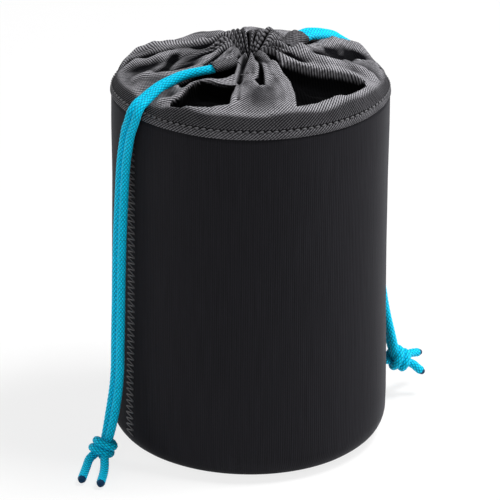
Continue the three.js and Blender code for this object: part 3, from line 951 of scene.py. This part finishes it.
BACK_OUTLINE = [(12, 0), (34, -5.5), (42, -4), (44, 0), (41, 4), (33, 4.5)]  # radius and turn
BACK_STRETCH = 1.2
hollows = dict(HOLLOWS)
for azimuth in BACK_PLEATS:
    outline = [turned_place(azimuth + BACK_STRETCH * turn, radius, 0) for radius, turn in BACK_OUTLINE]
    hollows[f"back_{azimuth}"] = (*BACK_PLEAT, [(x, y) for x, y, _ in outline])
print("hollows", list(hollows))

# %% [markdown]
# Without its folds the collar is a low dome. It stands up from the hem in a roll, highest in front, and
# the back of the rim sits a little lower. A turned profile would be the same all round, so the dome is a
# function of the place instead.

# %% The collar's dome
RIM_RADIUS = 49.7
DOME_TOP = 149.7
DOME_DROP = 12.9
DOME_POWER = 1.75
BACK_DIP = 2.0
BACK_SPAN = (-0.45, 0.3)  # sine of the azimuth, from the front to the back
DIP_SPANS = ((6, 20), (36, 48))  # radii over which the dome takes up half of the dip each
FRONT_ROLL = 3.6
SIDE_ROLL = 2.2
ROLL_AZIMUTH = math.radians(280)
ROLL_RADIUS = 48
ROLL_FRONT = (0.35, 0.85)  # cosine of the turn from the roll's middle
ROLL_SIDES = (0.6, 0.92)  # cosine of the turn from either side
ROLL_END = (46, 25)
ROLL_WAVES = ((0.12, 9, 0.7), (0.1, 14, 0))  # share, count and start
RIM_TUCK = 0.8
TUCK_RADIUS = 47.6


def rim_dip(theta):
    """How much lower the rim sits behind than in front."""
    return BACK_DIP * smooth_step(*BACK_SPAN, np.sin(theta))


def collar_profile(x, y, rho, theta):
    """The collar's height without its folds: a dome that stands up from the hem in a roll."""
    dome = DOME_TOP - DOME_DROP * (np.hypot(x, y) / CLOTH_RADIUS) ** DOME_POWER
    dome = dome - rim_dip(theta) * sum(0.5 * smooth_step(*span, rho) for span in DIP_SPANS)
    front = smooth_step(*ROLL_FRONT, np.cos(theta - ROLL_AZIMUTH))
    sides = smooth_step(*ROLL_SIDES, np.abs(np.cos(theta))) * (1 - front)
    uneven = sum((share * np.sin(count * theta + start) for share, count, start in ROLL_WAVES), 1)
    roll = (FRONT_ROLL * front + SIDE_ROLL * sides) * uneven
    roll = roll * smooth_step(RIM_RADIUS, ROLL_RADIUS, rho) * (1 - smooth_step(*ROLL_END, rho))
    return dome + roll - RIM_TUCK * smooth_step(TUCK_RADIUS, RIM_RADIUS, rho) * (1 - front)


print("dome", DOME_TOP, "mm at the middle,", round(DOME_TOP - DOME_DROP, 1), "mm at the rim")

# %% [markdown]
# Added to the dome are a crown on each gore, the drawn lines, and three rings of pleats that are finer
# towards the gather. The front panel is smooth in the photograph, so the outer two rings are weak there.

# %% The collar's ridges and pleats
PANEL_AZIMUTH = math.radians(278)
PANEL_SPAN = (0.9, 0.97)  # cosine of the turn from the panel's middle
PANEL_CALM = 0.8
GORE_CROWN = 1.3
CROWN_RADIUS = 50
CROWN_WIDTH = 46
CREASE_SHADE_GAIN = 0.55
CREASE_SHADE_LIMIT = 0.75
GATHER_PLEATS = {"radius": 7.5, "spread": 5.5, "height": 4, "count": 10, "warp": 2.2, "start": 0}
TUCKS = {"radius": 15, "spread": 8, "height": 1.9, "count": 6.5, "warp": 1, "start": 0}
WAVES = {"radius": 29, "spread": 9, "height": 1.3, "count": 4.5, "warp": 1.8, "start": 0.5}
BUNCH = {"radius": 9.5, "spread": 4, "front": 0.2, "more_behind": 2.6}
MOUTH_PIT = {"radius": 0, "spread": 4.6, "height": 6}
WAVE_LEVEL = 0.6  # the part of a wave that is level with the cloth
PLEAT_SHADE = (0.8, 0.35)  # from level cloth to the dark bottom of a pleat
TUCK_SHADE = (0.4, 0.05)
TUCK_SHADE_STRENGTH = 0.9


def segment_distance(x, y, ax, ay, bx, by):
    """Distance to the straight piece between two points."""
    along_x, along_y = bx - ax, by - ay
    share = ((x - ax) * along_x + (y - ay) * along_y) / (along_x ** 2 + along_y ** 2)
    share = np.clip(share, 0, 1)
    return np.hypot(x - ax - share * along_x, y - ay - share * along_y)


def line_distance(x, y, line):
    """Distance to an open line of points."""
    return np.min([segment_distance(x, y, *a, *b) for a, b in zip(line, line[1:])], axis=0)


def on_panel(theta):
    """1 on the smooth panel in front, 0 beside it."""
    return smooth_step(*PANEL_SPAN, np.cos(theta - PANEL_AZIMUTH))


def ring(rho, fold):
    """How strongly a ring of folds shows at a radius."""
    return np.exp(-((rho - fold["radius"]) / fold["spread"]) ** 2)


def pleating(fold, theta, warp):
    """Pleats round the gather, 0 in their valleys and 1 on their tops."""
    return np.abs(np.sin(fold["count"] * theta + fold["warp"] * warp + fold["start"]))


def collar_folds(x, y, rho, theta, across):
    """The folds' height, and the painted shade in their valleys from 0 to 1."""
    inward = np.clip((CROWN_RADIUS - rho) / CROWN_WIDTH, 0, 1)
    folds = GORE_CROWN * (1 - across ** 2) * np.sin(math.pi * inward)
    crease_shade = np.zeros(x.shape)
    for height, width, line in FOLD_LINES:
        near = np.exp(-(line_distance(x, y, line) / width) ** 2)
        folds = folds + height * near
        # Painted shade along the drawn valleys.
        crease_shade = np.maximum(crease_shade, np.clip(-CREASE_SHADE_GAIN * height, 0, CREASE_SHADE_LIMIT) * near)
    warp = 0.55 * np.sin(3 * theta + 1) + 0.35 * np.sin(5 * theta + rho / 5)
    pleats, tucks, waves = (pleating(fold, theta, warp) for fold in (GATHER_PLEATS, TUCKS, WAVES))
    slack = 1 - PANEL_CALM * on_panel(theta)
    near, further = ring(rho, GATHER_PLEATS), slack * ring(rho, TUCKS)
    folds = folds + GATHER_PLEATS["height"] * near * (pleats - WAVE_LEVEL)
    folds = folds + TUCKS["height"] * further * (tucks - WAVE_LEVEL)
    folds = folds + WAVES["height"] * slack * ring(rho, WAVES) * (waves - WAVE_LEVEL)
    back = 0.5 + 0.5 * np.sin(theta)
    folds = folds + (BUNCH["front"] + BUNCH["more_behind"] * back) * ring(rho, BUNCH)
    folds = folds - MOUTH_PIT["height"] * ring(rho, MOUTH_PIT)
    # Painted shade in the bottoms of the gather's pleats and of the tucks.
    crease_shade = np.maximum(crease_shade, near * smooth_step(*PLEAT_SHADE, pleats))
    crease_shade = np.maximum(crease_shade, TUCK_SHADE_STRENGTH * further * smooth_step(*TUCK_SHADE, tucks))
    return folds, crease_shade


print("drawn lines", len(FOLD_LINES), "and rings of pleats", len((GATHER_PLEATS, TUCKS, WAVES)))

# %% [markdown]
# A fold's edge hangs over the hollow beside it, so the hollow's wall has to lean back under the edge.
# Each point near a wall is moved outwards as well as down, and the cloth's edge swells a little where it
# rolls over.

# %% The collar's hollows
UNDERCUT = 1.7
EDGE_SWELL = 0.05  # share of the hollow's depth
SWELL_PLACE = 1.1
SWELL_WIDTH = 0.9
WALL_START = -0.3
WALL_END = 1.6
FLOOR_START = 4
SHADE_START = -0.45
SHADE_END = 0.05
SOFT_START = 1.9  # a soft wall begins and ends this much further in
SOFT_END = 2.4
PROBE = 0.05


def depth_inside(x, y, corners):
    """Distance to the outline of a polygon, positive inside it."""
    nearest = np.full(x.shape, 1e9)
    inside = np.zeros(x.shape, bool)
    for (ax, ay), (bx, by) in zip(corners, corners[1:] + corners[:1]):
        nearest = np.minimum(nearest, segment_distance(x, y, ax, ay, bx, by))
        inside ^= ((ay > y) != (by > y)) & (x < (bx - ax) * (y - ay) / (by - ay + 1e-12) + ax)
    return np.where(inside, nearest, -nearest)


def sink_hollows(x, y):
    """How far each point sinks and moves sideways, and the painted shade in the hollows there from 0 to 1."""
    sink, swell, unlit = np.zeros(x.shape), np.zeros(x.shape), np.zeros(x.shape)
    move_x, move_y = np.zeros(x.shape), np.zeros(x.shape)
    for depth, softness, dark, corners in hollows.values():
        edge = depth_inside(x, y, corners)
        slope_x = depth_inside(x + PROBE, y, corners) - depth_inside(x - PROBE, y, corners)
        slope_y = depth_inside(x, y + PROBE, corners) - depth_inside(x, y - PROBE, corners)
        slope_x, slope_y = slope_x / (2 * PROBE), slope_y / (2 * PROBE)
        soft = softness * np.clip(-slope_y, 0, 1)
        under = UNDERCUT * (1 - soft) * smooth_step(0, 1, edge)
        under = under * (1 - smooth_step(WALL_END, FLOOR_START, edge))
        move_x = move_x - slope_x * under
        move_y = move_y - slope_y * under
        sink = np.maximum(sink, depth * smooth_step(WALL_START, WALL_END + SOFT_END * soft, edge))
        shade = smooth_step(SOFT_START * soft + SHADE_START, SOFT_END * soft + SHADE_END, edge)
        # Painted shade inside the hollows.
        unlit = np.maximum(unlit, dark * shade)
        beside_edge = np.exp(-((edge + SWELL_PLACE) / SWELL_WIDTH) ** 2)
        swell = np.maximum(swell, EDGE_SWELL * depth * (1 - soft) * beside_edge)
    return sink - swell, move_x, move_y, unlit


print("deepest hollow", max(shaded_hollow[0] for shaded_hollow in hollows.values()), "mm")

# %% [markdown]
# ## Gores
# The gores are cut along the bottoms of the pleats, where the joins can't be seen. Each cut is a line
# from the rim to the gather, given as its azimuth at a few radii. The collar's outside is one function of
# radius and azimuth, so the gores meet exactly. The same function tells how far a point stands above the
# cloth round it. That makes the twill lighter on its ridges, partly as real fading and partly as painted
# light, and darker in its valleys as painted shade.

# %% The gores' outside
GATHER = (-0.8, -2.5)
GORE_CUTS = [
    [(50, 236), (44.5, 236), (37, 245), (32, 256), (26, 261), (2.4, 261)],
    [(50, 280), (27, 281), (18, 287), (10, 291), (2.4, 291)],
    [(50, 329), (43.5, 329), (36, 316), (31.5, 307), (24, 305.5), (16, 310), (2.4, 310)],
    [(50, 368), (2.4, 368)],
    [(50, 418), (2.4, 418)],
    [(50, 463), (2.4, 463)],
    [(50, 508), (2.4, 508)],
    [(50, 546), (27, 547), (18, 543), (2.4, 540)],
]
FADE_AND_SHADE_REACHES = ((1.6, 0.5), (4, 0.3), (8, 0.1))  # distance and weight
FADE_AND_SHADE_DIRECTIONS = 8
FADE_AND_SHADE_LIMIT = 0.5
# Painted shade in a valley is weaker than the fading and painted light on a ridge.
VALLEY_SHADE_SHARE = 0.7  # a valley darkens less than a ridge fades
PANEL_LESS = 0.6  # and less again on the front panel
EVEN_TONE_RIM = (46.5, 48.5)
EVEN_TONE_GATHER = (16, 10)
LEAN_POWER = 1.4
FOLD_START = (50, 44)
LEAST_RADIUS = 5
WRINKLE_SIZE = 11
GRAIN_SIZE = 4
GRAIN_SHARE = 0.4
PANEL_SMOOTH = 0.7
CRUMPLE_RADIUS = 46


def cut_azimuth(place, rho):
    """Azimuth in degrees of a cut between two gores."""
    lap, place = divmod(place, len(GORE_CUTS))
    radii, azimuths = zip(*reversed(GORE_CUTS[place]))
    return np.interp(rho, radii, azimuths) + 360 * lap


def collar_surface(rho, theta, low, high):
    """The collar's outside: its height before the folds, its points, and the painted shade there."""
    across = np.clip(2 * (np.degrees(theta) - low) / (high - low) - 1, -1, 1)
    lean = np.clip(1 - rho / RIM_RADIUS, 0, 1) ** LEAN_POWER
    x = GATHER[0] * lean + rho * np.cos(theta)
    y = GATHER[1] * lean + rho * np.sin(theta)
    sink, move_x, move_y, unlit = sink_hollows(x, y)
    profile = collar_profile(x, y, rho, theta)
    folds, crease_shade = collar_folds(x, y, rho, theta, across)
    z = profile - sink + smooth_step(*FOLD_START, rho) * folds
    return profile, np.stack([x + move_x, y + move_y, z], -1), np.maximum(unlit, crease_shade)


# This value lightens the twill on ridges, partly as real fading and partly as painted light, and paints shade
# into valleys.
def collar_fade_and_shade(rho, theta, low, high, z):
    """How far each point stands above the cloth round it, within a limit either way."""
    above = np.zeros(z.shape)
    for reach, weight in FADE_AND_SHADE_REACHES:
        for turn in np.linspace(0, 2 * math.pi, FADE_AND_SHADE_DIRECTIONS, endpoint=False):
            beside_rho = rho + reach * math.cos(turn)
            beside_theta = theta + reach * math.sin(turn) / np.maximum(rho, LEAST_RADIUS)
            beside_z = collar_surface(beside_rho, beside_theta, low, high)[1][..., 2]
            above += weight * (z - beside_z) / FADE_AND_SHADE_DIRECTIONS
    above = np.where(above < 0, (VALLEY_SHADE_SHARE - PANEL_LESS * on_panel(theta)) * above, above)
    near_edges = np.maximum(smooth_step(*EVEN_TONE_RIM, rho), 0.5 * smooth_step(*EVEN_TONE_GATHER, rho))
    return np.clip(above, -FADE_AND_SHADE_LIMIT, FADE_AND_SHADE_LIMIT) * (1 - near_edges)


def ripple(x, y, size, seed):
    """Soft irregular noise over the collar."""
    values = [noise.noise(Vector((a / size, b / size, seed))) for a, b in zip(x.ravel(), y.ravel())]
    return np.array(values).reshape(x.shape)


def crumple(x, y, rho, theta):
    """Small sharp wrinkles, weaker on the front panel and none at the rim."""
    wrinkles = 0.5 - np.abs(2 * ripple(x, y, WRINKLE_SIZE, seed=2.0))
    wrinkles = wrinkles + GRAIN_SHARE * ripple(x, y, GRAIN_SIZE, seed=5.0)
    return wrinkles * (1 - PANEL_SMOOTH * on_panel(theta)) * smooth_step(RIM_RADIUS, CRUMPLE_RADIUS, rho)


print("cuts at the rim", [cut[0][1] % 360 for cut in GORE_CUTS])

# %% [markdown]
# Cloth that is drawn shut has to go somewhere, so each gore has a hidden pleat on both sides. It goes
# down from the gore's edge and then out below the next gore, as far as the gap that the open mouth leaves
# between them when the gore turns on its hinge. Its lower edge is sewn to the sleeve.

# %% The hidden pleats
HINGE_RADIUS = 49.4
HINGE_HEIGHT = 137.4
OPEN_ANGLE = math.radians(68)
PLEAT_DEPTH = 8
PLEAT_STACK = 0.4  # each pleat lies a little lower than the one before
PLEAT_OVERLAP = 1
PLEAT_LEAST = 0.5
PLEAT_DROP = (47, 40)  # radii over which it goes down to its full depth
PLEAT_SPREAD = (49, 42)  # and out to its full width
PLEAT_STEPS = [  # shares of the way down and out
    (0.35, 0.01), (0.7, 0.02), (1, 0.03), (1, 0.28), (1, 0.52), (1, 0.76), (1, 1),
]


def follow_gore(piece):
    """Bakes a piece's place into its mesh."""
    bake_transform(piece)


def pleat_flap(edge, profile, place, side):
    """Columns of points from a gore's edge down and out to where they meet the next gore's when open."""
    cuts = [float(cut_azimuth(cut, RIM_RADIUS)) for cut in (place, place + 1)]
    outward = turned_place(sum(cuts) / 2, 1, 0)
    sideways = side * np.array([-outward[1], outward[0], 0])
    radius = np.hypot(edge[:, 0], edge[:, 1])
    bottom = profile - (PLEAT_DEPTH + PLEAT_STACK * place) * smooth_step(*PLEAT_DROP, radius)
    bottom = np.minimum(edge[:, 2], bottom)
    inward, above = HINGE_RADIUS - edge @ outward, bottom - HINGE_HEIGHT
    open_radius = HINGE_RADIUS - inward * math.cos(OPEN_ANGLE) + above * math.sin(OPEN_ANGLE)
    gap = open_radius * math.tan(math.radians(cuts[1] - cuts[0]) / 2) - edge @ sideways
    width = np.clip(gap + PLEAT_OVERLAP, PLEAT_LEAST, None) * smooth_step(*PLEAT_SPREAD, radius)
    columns = []
    for down, out in PLEAT_STEPS:
        column = edge + (out * width)[:, None] * sideways
        column[:, 2] = edge[:, 2] + down * (bottom - edge[:, 2])
        columns.append(column)
    return np.stack(columns, 1)


print("pleats", PLEAT_DEPTH, "mm deep")

# %% [markdown]
# Each gore is a grid with closer rows at the roll. Its weave is square to the gore's own middle, and runs
# on over the pleats. The gore is thickened inwards, and the size of its flat pattern is printed.

# %% Make the gores
MOUTH_RADIUS = 2.4
CROWN_CUTS = [(0, 2), (0, 2), (2, 3), (3, 4), (4, 5), (5, 6), (6, 7), (7, 8)]  # the front panel is two gores
WEAVE_MIDDLES = [280, 280, 349, 393, 440, 485, 527, 572]  # azimuth that each gore's weave is square to
WEAVE_SPAN = (36, 47)  # radii over which the weave goes over to lines along the rim
ROLL_ROWS = 18
GORE_ROWS = 120
GORE_COLUMNS = 96
CLOTH_THICKNESS = 0.55
CRUMPLE_HEIGHT = 0.9
CRUMPLE_FADE_AND_SHADE = 0.16
# Painted shade on the hidden pleats.
FLAP_SHADE = 0.2
FLAP_PAD = ((0, 0), (len(PLEAT_STEPS), len(PLEAT_STEPS)))
roll_rows = np.linspace(RIM_RADIUS, ROLL_RADIUS, ROLL_ROWS, endpoint=False)
rows = np.r_[roll_rows, np.linspace(ROLL_RADIUS, MOUTH_RADIUS, GORE_ROWS - ROLL_ROWS)]


def apply_modifier(piece, kind, **settings):
    """Adds a modifier, sets it and applies it."""
    select_only(piece)
    modifier = piece.modifiers.new(kind.lower(), kind)
    for key, value in settings.items():
        setattr(modifier, key, value)
    bpy.ops.object.modifier_apply(modifier=modifier.name)


def gore_cloth(place):
    """A gore's points, weave places, height before the folds, painted shade, fading with painted light and
    shade, and flat size.
    """
    rho = rows[:, None]
    low, high = cut_azimuth(place, rho), cut_azimuth(place + 1, rho)
    theta = np.radians(low + (high - low) * np.linspace(0, 1, GORE_COLUMNS)[None, :])
    crown = [cut_azimuth(cut, rho) for cut in CROWN_CUTS[place]]
    rho = np.broadcast_to(rho, theta.shape)
    profile, points, unlit = collar_surface(rho, theta, *crown)
    fade_and_shade = collar_fade_and_shade(rho, theta, *crown, points[..., 2])
    wrinkles = crumple(points[..., 0], points[..., 1], rho, theta)
    points[..., 2] += CRUMPLE_HEIGHT * wrinkles
    # Wrinkle tops are also painted lighter and their dips darker.
    fade_and_shade += CRUMPLE_FADE_AND_SHADE * wrinkles
    square = math.radians(WEAVE_MIDDLES[place])
    near_rim = smooth_step(*WEAVE_SPAN, rho)
    u = square * CLOTH_RADIUS + (theta - square) * (CLOTH_RADIUS * near_rim + rho * (1 - near_rim))
    inward = np.diff(rho, axis=0, prepend=RIM_RADIUS)
    v = np.cumsum(np.hypot(inward, np.diff(profile, axis=0, prepend=profile[:1])), axis=0)
    arc = max(float(high[0, 0] - low[0, 0]), float(np.mean(high - low)))
    flat = (math.radians(arc) * RIM_RADIUS * MM, float(v.max()) * MM)
    return points, np.stack([u, v], -1), profile, unlit, fade_and_shade, flat


def add_flaps(points, weave, profile, place):
    """The gore's points and weave places with a pleat on each side."""
    low_flap = pleat_flap(points[:, 0], profile[:, 0], place, -1)[:, ::-1]
    high_flap = pleat_flap(points[:, -1], profile[:, -1], place, 1)
    points = np.concatenate([low_flap, points, high_flap], axis=1)
    weave = np.pad(weave, (*FLAP_PAD, (0, 0)), mode="edge")
    steps = len(PLEAT_STEPS)
    added = np.linalg.norm(np.diff(points, axis=1), axis=2)
    weave[:, :steps, 0] -= np.cumsum(added[:, :steps][:, ::-1], axis=1)[:, ::-1]
    weave[:, -steps:, 0] += np.cumsum(added[:, -steps:], axis=1)
    return points, weave


gores = []
for place in range(len(GORE_CUTS)):
    points, weave, profile, unlit, fade_and_shade, flat = gore_cloth(place)
    points, weave = add_flaps(points, weave, profile, place)
    faces = grid_faces(*points.shape[:2])
    gore = new_piece(f"twill_gore_{place + 1}", points.reshape(-1, 3), faces, weave.reshape(-1, 2))
    # Painted shade in the hollows, creases and hidden pleats.
    store_values(gore, "shaded_hollow", np.pad(unlit, FLAP_PAD, constant_values=FLAP_SHADE))
    # Painted light and shade on the folds, together with real fading.
    store_values(gore, "fade_and_shade", np.pad(fade_and_shade, FLAP_PAD))
    apply_modifier(gore, "SOLIDIFY", thickness=CLOTH_THICKNESS * MM, offset=-1)
    finish_piece(gore, twill, "twill", f"collar_gore_{place + 1}", f"channel_cord_run_{place + 1}")
    follow_gore(gore)
    cloth_area = sum(face.area for face in gore.data.polygons) / 2
    print(gore.name, "flat", [round(x, 4) for x in flat], "share", round(cloth_area / flat[0] / flat[1], 2))
    gores.append(gore)

# %% [markdown]
# ## Hem and its topstitching
# The collar's lower edge is folded round the sleeve's rim into a rounded strip. It is turned round the
# axis and lowered behind with the rim. In front the roll hangs over its upper side, which is painted dark
# as shade.

# %% Make the hem
HEM_OUTLINE = [
    (48.6, 133.6), (49.7, 133.2), (50.1, 133.4), (50.3, 134), (50.3, 134.7), (50.15, 135.4), (49.8, 135.9),
    (49.5, 136.1), (49.4, 136.5), (49, 136.7), (47, 136.6), (45.6, 136.5), (45.6, 136.2), (47, 136.2),
    (48.6, 136.2), (48.6, 133.6),
]
HEM_COLUMNS = 192
HEM_TOP = 135.95
HEM_ROLL_SHADE = 0.85
HEM_FADE = 0.12
HEM_FRONT = (0.2, -0.3)  # share of the radius, from the middle to the front
hem = turned_shell("twill_hem", HEM_OUTLINE, HEM_COLUMNS, dent=0.2, seed=9.2)
under_roll = []
for v in hem.data.vertices:
    under_roll.append((v.co.z > HEM_TOP * MM) * smooth_step(*HEM_FRONT, v.co.y / (CLOTH_RADIUS * MM)))
    v.co.z -= rim_dip(math.atan2(v.co.y, v.co.x)) * MM
# Painted shade on the hem's upper side, under the roll in front.
store_values(hem, "shaded_hollow", [HEM_ROLL_SHADE * share for share in under_roll])
store_values(hem, "fade_and_shade", [HEM_FADE] * len(under_roll))
face_outwards(hem)
finish_piece(hem, twill, "twill", "collar_band")
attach(hem, "pouch")
print("hem faces", len(hem.data.polygons))

# %% [markdown]
# One row of stitches holds the hem. A stitch is a small stretched sphere with few faces, modelled once.
# The row is made of copies that are turned into place and joined.

# %% Make the topstitching
STITCH_COUNT = 122
STITCH_SIZE = (0.33, 0.95, 0.33)
STITCH_TILT = math.radians(8)
STITCH_RADIUS = 49.85
STITCH_HEIGHT = 136.25
bpy.ops.object.select_all(action="DESELECT")
bpy.ops.mesh.primitive_uv_sphere_add(segments=8, ring_count=6, radius=1)
stitch = bpy.context.active_object
stitch.name = "hem_stitch"
bpy.ops.object.mode_set(mode="EDIT")
bpy.ops.transform.resize(value=[size * MM for size in STITCH_SIZE])
bpy.ops.object.mode_set(mode="OBJECT")


def place_stitches(name, places):
    """Copies of the one stitch, each moved by a matrix, joined into a row."""
    copies = []
    for place in places:
        copy = stitch.copy()
        copy.data = stitch.data.copy()
        bpy.context.collection.objects.link(copy)
        copy.data.transform(place)
        copies.append(copy)
    select_only(copies[0])
    for copy in copies:
        copy.select_set(True)
    bpy.ops.object.join()
    row = bpy.context.active_object
    row.name = name
    row.data.shade_smooth()
    return row


places = []
for count in range(STITCH_COUNT):
    turn = 2 * math.pi * count / STITCH_COUNT
    on_hem = Matrix.Translation((STITCH_RADIUS * MM, 0, (STITCH_HEIGHT - rim_dip(turn)) * MM))
    places.append(Matrix.Rotation(turn, 4, "Z") @ on_hem @ Matrix.Rotation(STITCH_TILT, 4, "X"))
topstitch = place_stitches("hem_topstitch", places)
finish_piece(topstitch, thread, "thread", "rim_topstitch")
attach(topstitch, "pouch")
print("stitches", STITCH_COUNT)

# %% [markdown]
# The channel's seam shows as short rows of stitches across three of the gores. Each stitch is laid on the
# nearest point of the gore's cloth.

# %% Make the channel stitches
STITCH_STEP = 2.3
CHANNEL_FLOOR = 142.5
CHANNEL_ROWS = [  # gore, first stitch and last stitch
    (1, (-2.8, -21.2), (1.1, -22.1)), (2, (5.4, -23.3), (10.3, -21.4)),
    (4, (22.6, 4.2), (29.2, 14)), (4, (23.9, 3.4), (30.4, 13)),
]
for row, (number, first, last) in enumerate(CHANNEL_ROWS):
    gore = gores[number - 1]
    cloth = np.array([v.co for v in gore.data.vertices]) / MM
    cloth = cloth[cloth[:, 2] > CHANNEL_FLOOR]
    first, last = np.array(first), np.array(last)
    count = int(round(np.linalg.norm(last - first) / STITCH_STEP)) + 1
    heading = math.atan2(*(last - first)[::-1]) - math.pi / 2
    places = []
    for share in np.linspace(0, 1, count):
        nearest = np.argmin(np.linalg.norm(cloth[:, :2] - (first + share * (last - first)), axis=1))
        places.append(Matrix.Translation(cloth[nearest] * MM) @ Matrix.Rotation(heading, 4, "Z"))
    seam_row = place_stitches(f"channel_stitches_{row + 1}", places)
    finish_piece(seam_row, thread, "thread")
    follow_gore(seam_row)
    print(seam_row.name, "stitches", count)
bpy.data.objects.remove(stitch)

# %% [markdown]
# ## Seam threads
# The sleeve's upright seam is a zigzag, and the base is sewn in with a plain round seam. Both are thin
# tubes that lie on the cloth.

# %% Make the seam threads
SEAM_AZIMUTH = 212.5
SEAM_WIDTH = 5.2
SEAM_PITCH = 2.35
SEAM_TOP = 133.0
SEAM_BOTTOM = 8
SEAM_LIFT = 0.2
SEAM_THREAD_RADIUS = 0.22
SPAN_SHARES = (0.08, 0.3, 0.5, 0.7, 0.92)
BASE_SEAM_RADIUS = 40.1
BASE_SEAM_HEIGHT = 0.55
BASE_SEAM_POINTS = 121


def thread_tube(name, line, radius, sides=6):
    """A plain thin tube along a line."""
    turn = np.linspace(0, 2 * math.pi, sides, endpoint=False)
    points = (line[:, None] + radius * around(line, turn)).reshape(-1, 3)
    faces = [tuple(face) for face in grid_faces(len(line), sides, closed=True)]
    last = (len(line) - 1) * sides
    faces += [tuple(range(sides))[::-1], tuple(last + side for side in range(sides))]
    piece = new_piece(name, points, faces)
    face_outwards(piece)
    return piece


corners = []
height = SEAM_TOP
side = 1
while height > SEAM_BOTTOM:
    radius = np.interp(height, SLEEVE_HEIGHTS, SLEEVE_RADII) + SEAM_LIFT
    swing = math.degrees(side * SEAM_WIDTH / 2 / radius)
    corners.append(turned_place(SEAM_AZIMUTH + swing, radius, height))
    height -= SEAM_PITCH / 2
    side = -side
line = []
for here, there in zip(corners, corners[1:]):
    line += [here + (there - here) * share for share in SPAN_SHARES]
seam = thread_tube("zigzag_seam", np.array(line), SEAM_THREAD_RADIUS)
finish_piece(seam, thread, "thread", "side_seam_thread")
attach(seam, "pouch")
turns = np.linspace(0, 360, BASE_SEAM_POINTS)
round_line = np.array([turned_place(turn, BASE_SEAM_RADIUS, BASE_SEAM_HEIGHT) for turn in turns])
base_seam = thread_tube("base_seam", round_line, SEAM_THREAD_RADIUS)
finish_piece(base_seam, thread, "thread", "base_seam_thread")
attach(base_seam, "pouch")
print("zigzag corners", len(corners))

# %% [markdown]
# ## Channel mouths
# Each pair of strands comes out of a short arch of twill where the channel ends. It has an uneven lip in
# front and sinks into the collar behind.

# %% Make the channel mouths
ARCH_ROWS = 22
ARCH_COLUMNS = 40
ARCH_FRONT = 0.8
ARCH_ANGLES = (-25, 205)
ARCH_SINK = 4
ARCH_THICKNESS = 0.6
ARCH_WAVES = ((0.06, 3, 1), (0.04, 7, 1.7))  # share, and turns across and along
LIP_WAVE = (0.35, 2.3)
ARCH_TOP_LIGHT = (0.16, -0.02)
ARCH_UNDERSIDE_SHADE = 0.6


def make_exit(side, cord, mouth, reach, width, height, flare):
    """An arch of cloth over the start of a pair of strands, sinking into the collar behind."""
    route = cord_route(cord)[:2]
    along = unit(route[1] - route[0])
    sideways = unit(np.cross([0, 0, 1], along))
    up = np.cross(along, sideways)
    run = np.linspace(ARCH_FRONT, -reach, ARCH_ROWS)[:, None]
    angle = np.radians(np.linspace(*ARCH_ANGLES, ARCH_COLUMNS))[None, :]
    behind = smooth_step(0, -reach, run)
    wobble = sum((share * np.sin(a * angle + b * run) for share, a, b in ARCH_WAVES), 1)
    across = width * wobble * (1 + flare * behind) * np.cos(angle)
    lift = height * wobble * (1 + min(flare, 0) * behind) * np.sin(angle) - ARCH_SINK * abs(flare) * behind
    forward = run + LIP_WAVE[0] * np.sin(LIP_WAVE[1] * angle)
    points = route[mouth] + forward[..., None] * along + across[..., None] * sideways + lift[..., None] * up
    uv = np.stack(np.broadcast_arrays(angle * width, run), -1).reshape(-1, 2)
    faces = grid_faces(ARCH_ROWS, ARCH_COLUMNS)
    piece = new_piece(f"{side}_channel_mouth", points.reshape(-1, 3), faces, uv)
    upper = np.broadcast_to(np.sin(angle), points.shape[:2])
    # Painted light on the arch's top and painted shade on its underside.
    store_values(piece, "fade_and_shade", ARCH_TOP_LIGHT[0] * upper + ARCH_TOP_LIGHT[1])
    store_values(piece, "shaded_hollow", ARCH_UNDERSIDE_SHADE * smooth_step(0.6, 0, upper))
    apply_modifier(piece, "SOLIDIFY", thickness=ARCH_THICKNESS * MM, offset=0)
    finish_piece(piece, twill, "twill", f"{side}_channel_exit")
    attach(piece, f"gore_{cord['gore']}")
    return piece


left_mouth = make_exit("left", LEFT_CORD, mouth=1, reach=10, width=2.2, height=2.1, flare=-0.15)
right_mouth = make_exit("right", RIGHT_CORD, mouth=0, reach=7, width=4.2, height=2.6, flare=0.5)
print("channel mouths", left_mouth.name, right_mouth.name)
